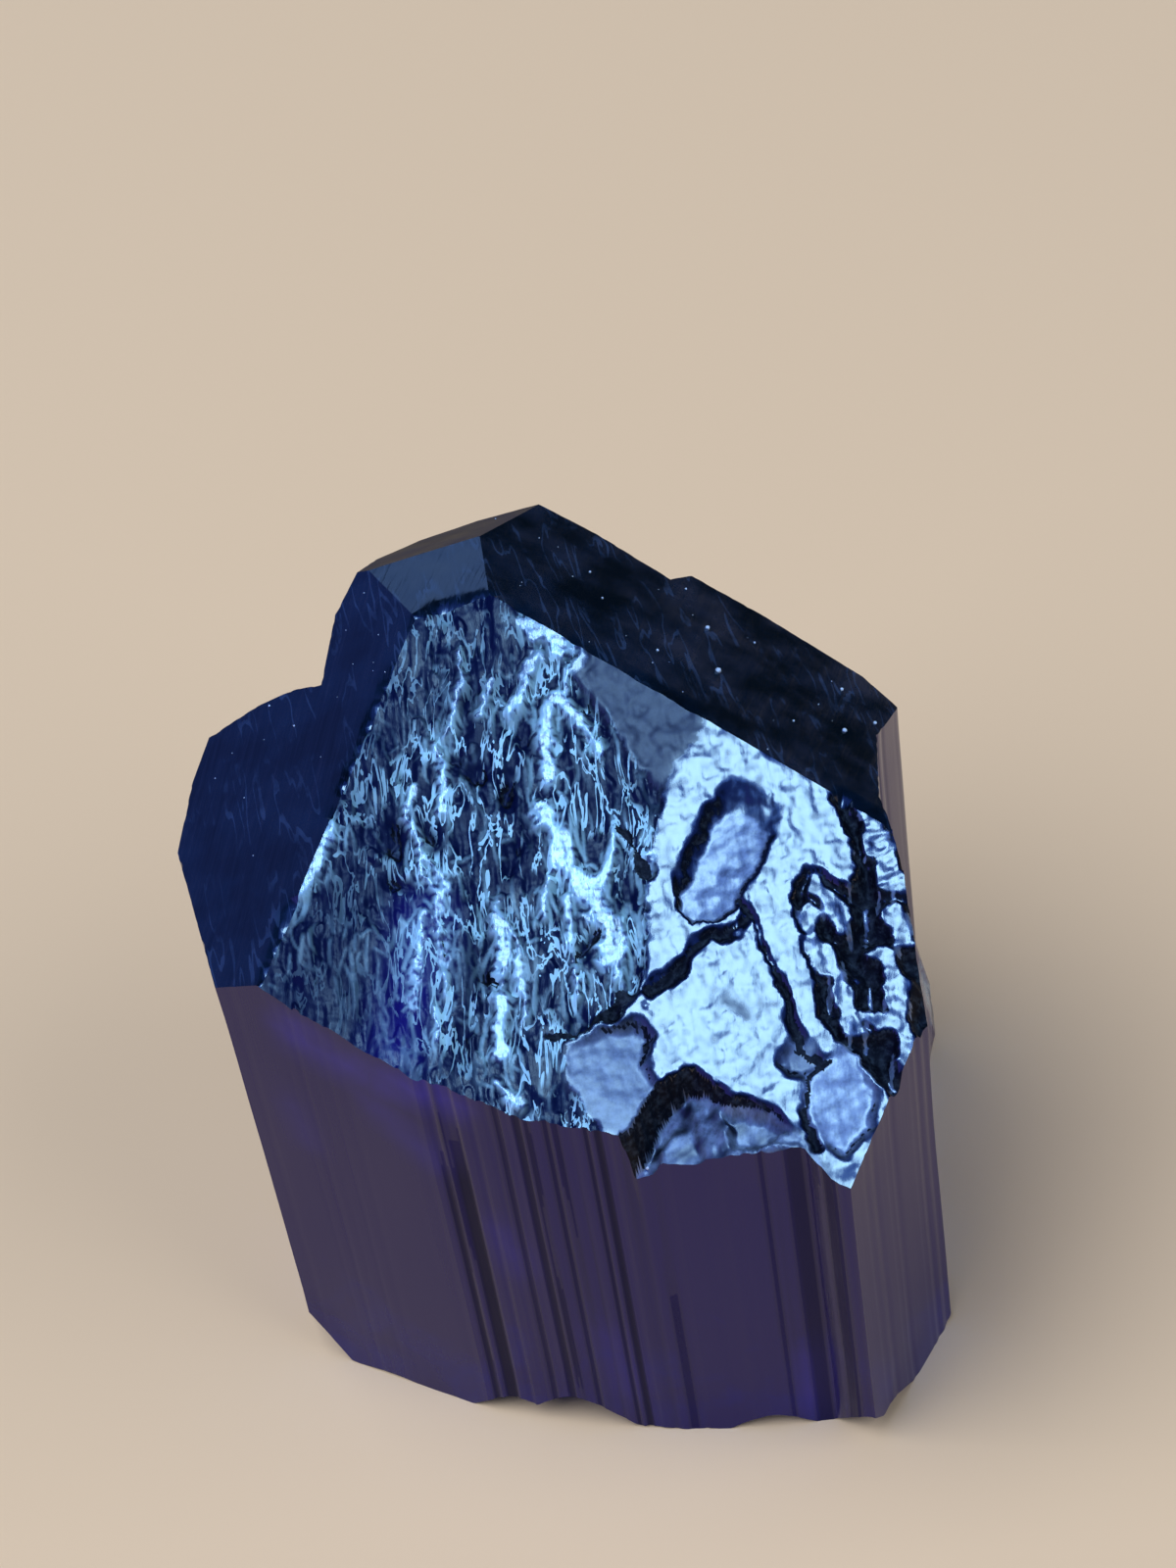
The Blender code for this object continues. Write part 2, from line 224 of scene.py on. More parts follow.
# %% Plan outline and facets
PLAN = (
    (-9.10, -12.96),  # front left corner: the smooth front wall starts
    (-0.84, -12.96),  # the striated part of the front wall starts
    (3.15, -12.23),
    (7.14, -10.90),
    (10.22, -9.57),
    (12.80, -8.15),  # a shallow re-entrant beside the front corner
    (14.00, -8.62),
    (14.75, -8.52),  # front corner
    (15.15, -1.72),  # right wall, then a stepped run towards the right corner
    (12.63, 2.44),
    (10.56, 5.06),
    (8.68, 9.07),
    (8.33, 11.90),  # right corner
    (6.46, 12.68),
    (2.00, 12.96),  # back wall, right part
    (-1.05, 12.88),
    (-1.40, 11.72),  # a step in the back wall
    (-4.70, 11.90),
    (-7.10, 11.65),  # back corner
    (-9.30, 10.30),
    (-10.80, 8.10),
    (-11.25, 5.60),
    (-10.92, 3.84),
    (-11.15, 2.00),
    (-10.28, -0.98),  # the notch between the crystal and the lobe grown against it
    (-11.62, -1.03),
    (-13.18, -1.55),
    (-15.16, -2.63),  # left corner, on the lobe
    (-14.98, -4.60),
    (-14.13, -7.42),
    (-12.78, -8.90),
)
PYRAMID_LEAN = math.radians(32.1)
PYRAMID_SLOPE = math.tan(PYRAMID_LEAN)
TOP_SLOPE = math.tan(math.radians(7.0))
FACETS = {  # the direction that a facet faces in plan, its slope, and its height over the middle
    "front": (-45, PYRAMID_SLOPE, 26.56),
    "right": (45, PYRAMID_SLOPE, 29.70),
    "back": (135, PYRAMID_SLOPE, 35.97),
    "left": (225, PYRAMID_SLOPE, 32.67),
    "top": (135, TOP_SLOPE, 30.95),
}
FRONT_ZERO = -11.95  # where v = 0 runs on the front facet, along the direction that the back facet faces
FRONT_STRETCH = math.cos(PYRAMID_LEAN)  # plan distance for each millimetre of v
BASE_SCOOPS = (  # x, y, radius, height
    (-9.8, -13.4, 2.4, 4.0), (0.6, -13.6, 2.3, 1.9), (3.2, -13.2, 2.9, 2.8), (10.9, -10.1, 2.0, 1.3),
    (14.7, -9.2, 2.3, 2.3), (15.8, -7.4, 2.4, 1.7), (-15.6, -3.6, 4.6, 2.4), (-8.4, 12.2, 4.2, 2.2),
    (8.9, 12.4, 4.0, 2.0), (15.4, 0.4, 2.8, 1.3), (2.5, 13.9, 2.8, 1.3), (-11.9, 5.6, 2.8, 1.5),
)
print(len(PLAN), "plan corners and", len(FACETS), "facets")

# %% Distances and waves
RIPPLES = 18  # in each random surface
RIPPLE_FINENESS = (1.6, 4.0)
WAVE_HEIGHT = 0.42  # brings most of a random surface between -1 and 1


def path_distance(points, path):
    """Distance from each point to a path of straight pieces."""
    nearest = np.full(len(points), np.inf)
    for start, end in zip(path[:-1], path[1:]):
        start, run = np.array(start), np.subtract(end, start)
        share = np.clip((points - start) @ run / (run @ run), 0, 1)
        gap = points - start - share[:, None] * run
        nearest = np.minimum(nearest, np.hypot(gap[:, 0], gap[:, 1]))
    return nearest


def outline_distance(points, outline):
    """Signed distance to a closed outline, negative inside."""
    inside = np.zeros(len(points), bool)
    x, y = points[:, 0], points[:, 1]
    for (ax, ay), (bx, by) in zip(outline, (*outline[1:], outline[0])):
        if ay == by:
            continue
        crosses = (ay > y) != (by > y)
        inside ^= crosses & (x < (bx - ax) * (y - ay) / (by - ay) + ax)
    return np.where(inside, -1, 1) * path_distance(points, (*outline, outline[0]))


def fall(distance, soft):
    """1 well inside, 0 outside, with a soft shoulder as wide as soft."""
    t = np.clip(0.5 - distance / soft, 0, 1)
    return t * t * (3 - 2 * t)


def waves(points, size, seed, turn=0.0, stretch=1.0):
    """A smooth random surface, mostly between -1 and 1: ripples that run in random directions, added up.

    size is how wide its bumps are, in millimetres. stretch makes them longer, and turn leans them."""
    turn = math.radians(turn)
    rng = np.random.default_rng(seed)
    total = np.zeros(len(points), np.float32)
    across = (points[:, 0] * math.cos(turn) + points[:, 1] * math.sin(turn)) / size
    along = (points[:, 1] * math.cos(turn) - points[:, 0] * math.sin(turn)) / (size * stretch)
    across, along = across.astype(np.float32), along.astype(np.float32)
    for _ in range(RIPPLES):
        way, start = rng.uniform(0, 2 * math.pi), rng.uniform(0, 2 * math.pi)
        fineness = rng.uniform(*RIPPLE_FINENESS)
        total += np.cos(fineness * (math.cos(way) * across + math.sin(way) * along) + start)
    return total * (WAVE_HEIGHT / math.sqrt(RIPPLES / 2))


print("waves of 1 mm:", np.round(waves(np.random.default_rng(1).uniform(0, 9, (5, 2)), 1.0, 7), 2))

# %% [markdown]
# ## Etching on the front facet
#
# Etching by hot fluid eats a crystal face unevenly. Here it left a sunken pocket, deep fluted channels, a
# scooped ledge at the rim and, over the left two thirds, a felt of ridges that all lean one way. Sculpting
# this by hand would be slow and could not be repeated, and noise alone has no pocket or channels. So the
# relief is drawn in numbers on a sheet of squares laid over the facet. u runs across the facet and v up its
# slope, both in millimetres, and depth is how far the stone lies below the flat facet.

# %% The sheet of squares
PITCH = 0.035  # between the sheet's lines
SHEET_LOW = np.array((-15.2, -6.6))
SHEET_HIGH = np.array((12.6, 22.4))
U_LINES = np.arange(SHEET_LOW[0], SHEET_HIGH[0], PITCH)
V_LINES = np.arange(SHEET_LOW[1], SHEET_HIGH[1], PITCH)
SHEET = np.stack(np.meshgrid(U_LINES, V_LINES), axis=-1).reshape(-1, 2)


def read_sheet(uv, values):
    """The value on the sheet at each point, blended between its four nearest squares."""
    place = np.clip((uv - SHEET_LOW) / PITCH, 0, (len(U_LINES) - 1.01, len(V_LINES) - 1.01))
    i, j = place[:, 0].astype(int), place[:, 1].astype(int)
    s, t = place[:, 0] - i, place[:, 1] - j
    low = values[j, i] * (1 - s) + values[j, i + 1] * s
    high = values[j + 1, i] * (1 - s) + values[j + 1, i + 1] * s
    return low * (1 - t) + high * t


def bumps(size, seed, **more):
    """Waves over the whole sheet."""
    return waves(SHEET, size, seed, **more)


print("sheet:", len(V_LINES), "by", len(U_LINES), "squares")

# %% [markdown]
# ## Old surface, felt and ribs
#
# Right of a wandering line the old flat surface is kept, as a bright plateau. Left of it the face is eaten to
# a felt, in which long ribs still reach the old surface. Between them, near the top, lies a slate-coloured
# ground. Borders drawn as outlines would look cut with a knife, so every outline is read at places that waves
# have shifted a little, which makes it ragged.

# %% Long ribs, plateau and slate ground as outlines
LONG_RIBS = (  # path and width: ridges in the etched ground that still reach the old surface
    (((-4.7, 9.2), (-4.8, 8.0), (-5.4, 6.6), (-5.9, 5.2), (-6.2, 3.8)), 0.44),
    (((-4.6, 9.0), (-4.3, 7.8), (-4.6, 6.4), (-5.0, 4.8)), 0.20),
    (((-4.8, 16.0), (-4.8, 14.9), (-5.3, 13.4)), 0.30),
    (((-6.2, 14.7), (-6.8, 13.6), (-6.5, 12.4), (-6.9, 11.4), (-6.5, 10.4), (-6.9, 9.4), (-7.3, 7.4)), 0.24),
    (((-6.6, 11.9), (-6.2, 10.6), (-6.6, 9.6)), 0.20),
    (((-7.4, 9.8), (-8.2, 8.2), (-8.9, 6.5)), 0.24),
    (((-7.0, 8.0), (-7.5, 6.6)), 0.14),
    (((0.3, 16.3), (-0.5, 15.3), (-0.9, 14.2), (-1.1, 13.4)), 0.44),
    (((0.3, 16.3), (0.8, 15.2), (1.2, 13.8)), 0.36),
    (((0.4, 16.3), (1.0, 17.0), (1.6, 17.5)), 0.26),
    (((0.2, 19.2), (0.8, 18.9), (1.3, 18.2)), 0.60),
    (((0.2, 18.2), (-0.6, 17.4), (-1.6, 16.3)), 0.36),
    (((-1.7, 12.2), (-1.5, 11.0), (-1.7, 10.1), (-1.1, 8.9), (-0.9, 7.6), (-1.3, 5.9)), 0.60),
    (((0.6, 10.5), (0.0, 9.5), (-0.7, 8.5), (-1.5, 7.6)), 0.30),
    (((1.8, 9.0), (1.7, 7.8), (1.3, 6.6), (0.7, 5.2)), 0.80),
    (((-1.9, 8.6), (-2.5, 7.3), (-2.4, 6.2), (-2.9, 4.9)), 0.22),
    (((-2.4, 9.6), (-3.0, 8.2)), 0.20),
    (((-0.3, 7.2), (-0.7, 6.0), (-1.1, 5.0)), 0.24),
    (((-3.2, 17.9), (-3.6, 16.8), (-4.4, 16.2)), 0.22),
    (((-2.6, 19.4), (-3.1, 18.0)), 0.16),
    (((-2.0, 17.6), (-2.8, 16.6)), 0.20),
    (((-9.6, 14.0), (-10.4, 13.2), (-11.6, 12.0)), 0.30),
    (((-8.0, 6.2), (-8.4, 5.0)), 0.16),
    (((-6.7, 2.6), (-6.3, 1.6)), 0.30),
)
PLATEAU = (  # where the old flat surface is kept
    (1.9, 18.3), (1.2, 17.0), (2.4, 12.6), (2.8, 11.0), (1.9, 9.6), (1.1, 8.3), (0.5, 6.6), (-0.1, 5.1),
    (-0.6, 4.3), (-2.4, 3.7), (-4.0, 3.2), (-4.3, 1.6), (-3.7, -0.8), (-3.0, -7.0), (12.6, -7.0), (12.6, 9.0),
)
MOTTLED = (  # slate ground between the felt and the bright plateau
    (1.0, 16.6), (2.2, 18.4), (5.4, 13.9), (4.9, 12.9), (3.2, 12.0), (2.5, 11.0), (1.4, 9.6), (-0.6, 10.2),
    (-1.0, 13.6),
)
print(len(LONG_RIBS), "long ribs")

# %% Which ground lies where
ragged = SHEET + np.column_stack([
    0.13 * bumps(0.9, seed) + 0.08 * bumps(0.32, seed + 1) + 0.045 * bumps(0.14, seed + 2)
    for seed in (11, 21)
])
worn = np.clip(0.5 + 0.6 * bumps(0.6, 15), 0, 1)
etched = 1 - fall(outline_distance(ragged, PLATEAU), 0.6)
mottled = (1 - etched) * fall(outline_distance(ragged, MOTTLED), 0.8)
u, v = SHEET[:, 0], SHEET[:, 1]
raised, near_ribs = np.zeros(len(SHEET)), np.zeros(len(SHEET))
for path, width in LONG_RIBS:
    from_rib = path_distance(ragged, path)
    raised = np.maximum(raised, fall(from_rib - width * (0.45 + 0.6 * worn), 0.45))
    near_ribs = np.maximum(near_ribs, fall(from_rib - width, 1.8))
print("etched share of the sheet:", round(float(etched.mean()), 2))

# %% [markdown]
# ## Strokes
#
# Fibres, curls and pits are short strokes, and each is drawn on the sheet as a small tent. Particles or hair
# could stand for the fibres, but they would not be part of the surface. The real fibres are a few hundredths
# of a millimetre wide, too fine to show from here, so they are drawn several times as wide.

# %% Fine ridges and pits, drawn stroke by stroke
FIBRE_LEAN = 17  # degrees from v, towards lower left


def strokes(count, seed, lengths, widths, heights, spread, curl):
    """A sheet with short ridges on it. lengths, widths and heights are ranges.

    spread is how far leans differ, in degrees, and curl how much the ridges bend."""
    rng = np.random.default_rng(seed)
    drawn = np.zeros((len(V_LINES), len(U_LINES)))
    for _ in range(count):
        middle = rng.uniform(SHEET_LOW, SHEET_HIGH)
        lean = math.radians(FIBRE_LEAN + rng.normal(0, spread))
        length, width, height = rng.uniform(*lengths) / 2, rng.uniform(*widths) / 2, rng.uniform(*heights)
        bend = rng.normal(0, curl)
        reach = length + width
        first = np.maximum(((middle - reach - SHEET_LOW) / PITCH).astype(int), 0)
        last = ((middle + reach - SHEET_LOW) / PITCH).astype(int) + 1
        window = (slice(first[1], last[1]), slice(first[0], last[0]))
        du = U_LINES[window[1]][None, :] - middle[0]
        dv = V_LINES[window[0]][:, None] - middle[1]
        along = du * math.sin(lean) + dv * math.cos(lean)
        across = du * math.cos(lean) - dv * math.sin(lean) + bend * (along * along - length * length / 3)
        flank = np.clip(1.8 * (1 - np.abs(across) / width), 0, 1)
        tip = np.clip(2 * (1 - np.abs(along) / length), 0, 1)
        drawn[window] = np.maximum(drawn[window], height * (flank * tip))
    return drawn.ravel()


hairs = strokes(
    1700, seed=5, lengths=(0.9, 2.8), widths=(0.16, 0.28), heights=(0.012, 0.034), spread=12, curl=0.30
)
curls = strokes(
    700, seed=6, lengths=(0.5, 1.3), widths=(0.16, 0.24), heights=(0.015, 0.036), spread=50, curl=1.2
)
pits = strokes(
    500, seed=7, lengths=(0.3, 1.0), widths=(0.20, 0.44), heights=(0.004, 0.022), spread=30, curl=0.6
)
strands = np.maximum(hairs, curls)
print("tallest ridge:", round(float(hairs.max()), 2), "mm")

# %% Felt: lumps, leaning fibres and crumbs
PALE_ETCH = (  # outline, how much of the fibres' height is left there
    (((-4.5, 22.5), (0.5, 22.5), (0.4, 17.8), (-1.2, 16.9), (-5.6, 17.0), (-8.5, 16.5)), 0.60),
    (((-12.0, 7.0), (-8.6, 4.6), (-3.9, 4.6), (-3.6, -2.0), (-14.0, -2.0)), 0.50),
    (((-4.4, 9.8), (0.4, 9.8), (0.8, 6.0), (-0.4, 4.2), (-4.4, 3.4)), 0.60),
)
PALE_SOFT = 1.4
LEANING = {"turn": -FIBRE_LEAN}
pale = [fall(outline_distance(ragged, patch), PALE_SOFT) for patch, _ in PALE_ETCH]
flakes = fall(0.55 - bumps(0.32, 56, stretch=2.2, **LEANING), 0.3)
fibre_height = etched * (1 - 0.85 * raised) * (1 - 0.6 * flakes) * (1.45 + 0.6 * bumps(1.0, 57))
for share, (_, left) in zip(pale, PALE_ETCH):
    fibre_height = fibre_height * (1 - (1 - left) * share)
fibres = 0.030 * bumps(0.18, 31, stretch=6, **LEANING) + 0.095 * bumps(0.55, 32, stretch=2.4, **LEANING)
crumbs = 0.010 * bumps(0.14, 36) + 0.022 * bumps(0.34, 37, stretch=1.6, **LEANING)
tufts = np.clip(0.55 + 0.9 * bumps(1.5, 38), 0, 1)
lumps = (0.17 * bumps(1.1, 33, stretch=2.2, **LEANING) + 0.17) * np.clip(fibre_height, 0, 1)
depth = etched * (1 - raised) * (0.04 + lumps) + 0.02 * etched * raised
depth = depth + fibre_height * (fibres + crumbs - 0.5 * tufts * strands)
print("felt: down to", round(float(depth.max()), 2), "mm")

# %% Slate-coloured ground and the kept plateau
slate = 0.014 * bumps(0.16, 34, stretch=1.5) + 0.024 * bumps(0.35, 35) + 0.06 * bumps(0.9, 61)
depth = depth + mottled * (1 - raised) * (0.08 + slate)
crinkle = 0.008 * bumps(0.16, 63) + 0.012 * bumps(0.33, 64)
vein = np.clip(1 - np.abs(bumps(0.7, 43)) / 0.26, 0, 1)
veins = 0.009 * vein * np.clip(0.4 + 1.6 * bumps(1.4, 53), 0, 1)
depth = depth + (1 - etched) * (1 - mottled) * (0.15 * pits + veins + crinkle)
print("slate ground: waves by", round(float(np.ptp(slate)), 2), "mm")

# %% [markdown]
# ## Grooves and hollows
#
# Narrow grooves run along weak lines of the stone, and in the felt short soft hollows stay dark because no
# light gets out of them. Each could be cut with a body of its own, but that would leave clean edges. As
# depths on the sheet they break up with the same waves as the rest. pit marks ground that is too broken to
# mirror anything, and its dark finish also paints the shade deep in the grooves and channels.

# %% Grooves and hollows
GROOVES = (  # path, width, depth
    (((4.2, 6.4), (4.5, 5.5), (4.6, 4.3), (4.5, 3.4), (4.8, 2.2), (4.5, 1.2), (4.4, 0.3), (5.0, -0.4)),
     0.40, 0.30),
    (((4.1, 5.7), (3.4, 5.4), (2.7, 5.5), (1.8, 5.1), (1.2, 4.7), (0.2, 4.2), (-0.8, 4.2)), 0.60, 0.34),
    (((-0.8, 4.2), (-1.4, 4.3), (-2.0, 4.1)), 0.90, 0.55),
    (((-2.0, 4.1), (-2.5, 3.7), (-3.2, 3.5), (-4.4, 3.8)), 0.45, 0.24),
    (((5.3, -0.5), (4.3, -0.9), (3.8, -2.2), (3.7, -3.4)), 0.40, 0.26),
    (((6.3, 8.8), (5.6, 8.0), (5.0, 7.3), (4.5, 6.4)), 0.26, 0.10),
    (((0.9, 10.5), (1.15, 9.4), (1.1, 8.4)), 0.60, 0.26),
    (((6.9, 9.9), (6.3, 9.4), (6.0, 8.9)), 0.26, 0.12),
)
HOLLOWS = (  # path, width, depth: short soft hollows in the etched ground
    (((-1.6, 7.1), (-2.3, 6.3)), 0.90, 0.42),
    (((-5.8, 6.9), (-5.6, 6.2)), 0.90, 0.42),
    (((-4.3, 15.2), (-3.8, 14.4)), 1.10, 0.42),
    (((-1.2, 16.0), (-1.6, 15.0)), 0.80, 0.36),
    (((-2.8, 17.6), (-2.9, 17.0)), 0.60, 0.30),
    (((-7.4, 13.5), (-7.7, 12.7)), 1.00, 0.34),
    (((-8.2, 11.7), (-7.6, 11.0)), 0.90, 0.32),
    (((-6.2, 13.4), (-6.1, 12.6)), 0.70, 0.34),
    (((-2.2, 14.1), (-3.0, 13.4)), 0.90, 0.30),
    (((-3.2, 11.2), (-3.6, 10.4)), 0.80, 0.32),
    (((-5.2, 10.5), (-5.4, 9.8)), 0.70, 0.30),
    (((-2.4, 12.2), (-2.6, 11.4)), 0.70, 0.30),
    (((0.4, 9.0), (0.1, 8.0)), 0.60, 0.28),
    (((-9.4, 10.6), (-9.0, 10.0)), 0.70, 0.22),
    (((-3.9, 0.6), (-3.5, 0.1)), 0.60, 0.26),
    (((-8.6, 7.5), (-9.0, 6.4)), 0.50, 0.20),
    (((-6.9, 8.6), (-7.2, 7.8)), 0.60, 0.26),
    (((2.4, 3.0), (2.8, 2.5), (3.0, 2.0)), 0.30, 0.04),  # a dull spot on the plateau
)
BROKEN_GROOVE = 0.15  # a groove deeper than this has a broken floor
groove_floor = np.clip(0.85 + 0.5 * bumps(0.7, 54), 0, 2)
pit = np.zeros(len(SHEET))
for path, width, deep in GROOVES:
    reach = np.clip(1 - path_distance(ragged, path) / (width * (0.08 + 0.85 * worn)), 0, 1)
    depth = np.maximum(depth, deep * reach * groove_floor)
    pit = np.maximum(pit, reach * (deep > BROKEN_GROOVE))
hollow = np.zeros(len(SHEET))
for path, width, deep in HOLLOWS:
    reach = fall(path_distance(ragged, path) - 0.3 * width * worn, 0.8)
    depth, hollow = depth + deep * reach, np.maximum(hollow, np.clip(1.6 * reach, 0, 1))
print(len(GROOVES), "grooves and", len(HOLLOWS), "hollows")

# %% [markdown]
# ## What the surface looks like, point by point
#
# Depth alone doesn't say how the stone meets the light, so more sheets are filled along with it: dull is how
# rough the surface is, and the chalk sheet is how much pale powder shows, together with painted sheen on the
# ribs and the ledge floor. frayed and threaded are where loose fibre ends catch the light, which is painted as
# pale glints. Painting them on an image would work too, but numbers made from the same outlines always fit
# the relief.

# %% Dullness, pale powder with painted sheen, and loose fibres with painted glints
dull = np.clip(etched * (1 - 0.9 * raised) * (0.80 + 0.35 * bumps(0.9, 62)), 0, 1)
dull = dull * (1 - 0.6 * tufts * np.clip(strands / 0.022 - 0.5, 0, 1))
for share, (_, left) in zip(pale, PALE_ETCH):
    dull = dull * (1 - (1 - left) * share)
dull = np.maximum(np.maximum(dull, hollow), mottled * (1 - 0.9 * raised))
rubbed_spots = np.clip(0.04 + 0.30 * bumps(0.22, 65) + 0.20 * bumps(0.7, 68), 0, 1)
dull = np.maximum(dull, (1 - etched) * rubbed_spots)
# Pale powder on the slate ground. On the ribs the pale colour is painted sheen, where their flat crests mirror
# the sky.
chalk_and_sheen = 0.15 * mottled + 0.30 * etched * raised
# Where fibre ends and rib crests catch the light: the material paints these glints as pale threads.
frayed = etched * np.clip(0.2 * tufts + near_ribs, 0, 1) * np.clip(strands / 0.014 - 0.9, 0, 1)
frayed = np.maximum((1 - hollow) * frayed, 0.7 * etched * raised * (bumps(0.16, 67) > -0.1))
threaded = etched * (1 - hollow) * np.clip(0.30 + near_ribs + 0.14 * (u + 9), 0.10, 1)
near_tip = pale[0]  # fibres lie flatter there
frayed, threaded = frayed * (1 - 0.6 * near_tip), threaded * (1 - 0.6 * near_tip)
print("dull share of the felt:", round(float(dull[etched > 0.5].mean()), 2))

# %% [markdown]
# ## Tilted patches, pocket, channels and ledge
#
# These are the forms that a hand would feel. The tilted patches are flat chips of the old surface that lean a
# few degrees, so they mirror a darker part of the sky. The pocket is a basin with a nearly flat floor. The
# channels are fluted, with worn ribs left standing between them, and the ledge is a bite out of the rim. They
# could be sculpted, but as outlines with a depth each they can be moved or deepened one by one.

# %% Tilted patches
TILTED = (  # outline, depth in the middle, lean along u, lean along v, dullness, chalkiness (pale powder with painted sheen)
    (((-4.1, 3.1), (-2.8, 3.3), (-1.2, 3.4), (-0.8, 2.6), (-1.3, 1.6), (-1.2, 0.6), (-2.0, -0.2),
      (-3.0, -0.9), (-3.9, 0.2), (-4.3, 1.6)), 0.14, 0.10, 0.09, 0.7, 0.65),
    (((3.7, 0.3), (4.2, 0.7), (4.9, 0.3), (4.9, -0.5), (4.3, -0.8), (3.7, -0.4)),
     0.18, -0.12, -0.06, 0.7, 0.4),
    (((4.0, -1.2), (4.6, -0.7), (5.3, -0.4), (6.2, 0.2), (6.5, -0.6), (6.6, -2.4), (5.9, -3.4), (4.6, -4.0),
      (3.9, -3.2)), 0.12, 0.05, -0.055, 0.35, 1.0),
)
for patch, middle_depth, lean_u, lean_v, frosting, chalk_and_sheen_level in TILTED:
    middle = np.mean(patch, axis=0)
    share = fall(outline_distance(ragged, patch), 0.60)
    sunk = middle_depth + (SHEET - middle) @ (lean_u, lean_v) + 0.5 * pits + 0.010 * bumps(0.3, 55)
    depth = depth * (1 - share) + share * sunk
    dull = dull * (1 - share) + share * frosting
    chalk_and_sheen = chalk_and_sheen * (1 - share) + share * chalk_and_sheen_level
print(len(TILTED), "tilted patches")

# %% Pocket
POCKET_RIM = (
    (1.9, 7.2), (2.2, 8.4), (2.9, 9.3), (3.8, 10.1), (4.8, 10.8), (5.6, 11.4), (6.4, 11.1), (7.1, 10.3),
    (7.6, 9.4), (7.0, 8.7), (6.0, 7.9), (5.0, 7.0), (4.3, 6.4), (3.4, 6.0), (2.5, 6.0), (2.0, 6.5),
)
POCKET_FLOOR = (
    (2.1, 7.6), (2.9, 7.9), (3.3, 8.5), (4.1, 9.3), (4.5, 9.9), (5.5, 9.8), (6.0, 9.1), (6.1, 8.4),
    (5.5, 7.8), (4.7, 7.0), (3.9, 6.4), (3.1, 6.1), (2.4, 6.2), (2.0, 6.9),
)
POCKET_MIDDLE = (3.5, 8.5)
FLOOR_SHARE = 0.97  # how much of a basin's full depth counts as its floor


def basin(points, rim, floor):
    """0 outside the rim and 1 on the floor, with a smooth wall between the two outlines."""
    from_rim = np.maximum(-outline_distance(points, rim), 0)
    from_floor = np.maximum(outline_distance(points, floor), 0)
    return fall(0.5 - from_rim / np.maximum(from_rim + from_floor, PITCH), 1.0)


pocket = basin(ragged, POCKET_RIM, POCKET_FLOOR)
down_right = (u - POCKET_MIDDLE[0]) - (v - POCKET_MIDDLE[1])
pocket_floor = 0.42 - 0.058 * down_right - 0.06 * np.maximum(down_right - 1, 0)
pocket_floor = pocket_floor + 0.012 * bumps(0.4, 44) + 0.5 * pits
depth = np.maximum(depth, pocket * pocket_floor)
dull = dull * (1 - pocket) + 0.3 * pocket
chalk_and_sheen = chalk_and_sheen * (1 - pocket) + 0.75 * (pocket > FLOOR_SHARE)
on_floors = pocket > FLOOR_SHARE
print("pocket: down to", round(float((pocket * pocket_floor).max()), 2), "mm")

# %% Fluted channels
CHANNELS = (
    (6.2, 5.9), (6.5, 6.5), (7.1, 6.8), (7.7, 6.6), (8.1, 6.0), (8.4, 5.6), (8.9, 6.0), (9.05, 7.0),
    (9.1, 9.3), (12.5, 9.6), (12.5, -2.5), (7.0, -2.5), (6.5, -0.9), (5.8, 0.2), (5.65, 1.8), (5.9, 3.4),
    (6.0, 4.9),
)
CHANNEL_RIBS = (  # path, width, height over the channels' floor
    (((6.6, 5.2), (6.3, 4.3), (6.5, 3.3), (6.9, 2.5), (6.6, 1.4), (6.8, 0.3)), 0.85, 0.80),
    (((7.2, 6.1), (7.7, 5.3), (7.6, 4.3)), 0.75, 0.76),
    (((8.75, 2.6), (8.8, 1.7), (8.4, 0.6)), 0.85, 0.84),
    (((9.5, 4.3), (9.8, 3.7), (9.6, 3.0)), 0.75, 0.76),
    (((10.3, 9.3), (10.15, 7.2), (10.2, 5.4)), 1.10, 0.80),
    (((7.3, 0.8), (8.2, 0.1), (8.6, -0.7), (8.2, -1.6)), 0.75, 0.84),
)
CHANNEL_DEPTH, RIB_ROOT = 0.98, 0.92  # of the channels' floor, and of where the ribs' heights count from
FLUTE_FLANK = 0.42  # how far from a rib the floor is reached
BROKEN_FLUTE = 0.35  # share of the floor's depth from which the stone is broken
RUNG_U, RUNG_FOOT, RUNG_SPACING = 10.1, 5, 0.42  # fine rungs across the rib at the right
crest_wear = 0.10 * bumps(0.45, 47) + 0.03 * bumps(0.16, 48)
from_high = -outline_distance(ragged, CHANNELS)
crest = np.zeros(len(SHEET))
for path, width, high in CHANNEL_RIBS:
    from_rib = path_distance(ragged, path) - width * (0.25 + 0.5 * worn)
    crest = np.where(from_rib < from_high, RIB_ROOT - high, crest)
    from_high = np.minimum(from_high, from_rib)
gully = 1 - np.exp(-np.maximum(from_high, 0) / FLUTE_FLANK)
channels = gully * (CHANNEL_DEPTH + 0.12 * bumps(0.4, 45))
channels = channels + (1 - gully) * np.maximum(crest + 0.35 * crest_wear, 0)
in_channels = outline_distance(ragged, CHANNELS) < 0
channels = channels * in_channels
pit = np.maximum(pit, in_channels * (gully > BROKEN_FLUTE))
splinters = in_channels * (bumps(0.30, 75, stretch=3.0, **LEANING) > 0.5)  # pale slivers on the broken floor: painted glints
chalk_and_sheen = np.maximum(chalk_and_sheen, 0.7 * splinters)
on_floors |= splinters > 0
rungs = fall(np.abs(u - RUNG_U) - 0.6, 0.3) * np.cos(v * 2 * math.pi / RUNG_SPACING + 2 * bumps(0.8, 49))
depth = np.maximum(depth, channels + 0.014 * (rungs * (v > RUNG_FOOT)))
print("channels:", len(CHANNEL_RIBS), "ribs left standing")

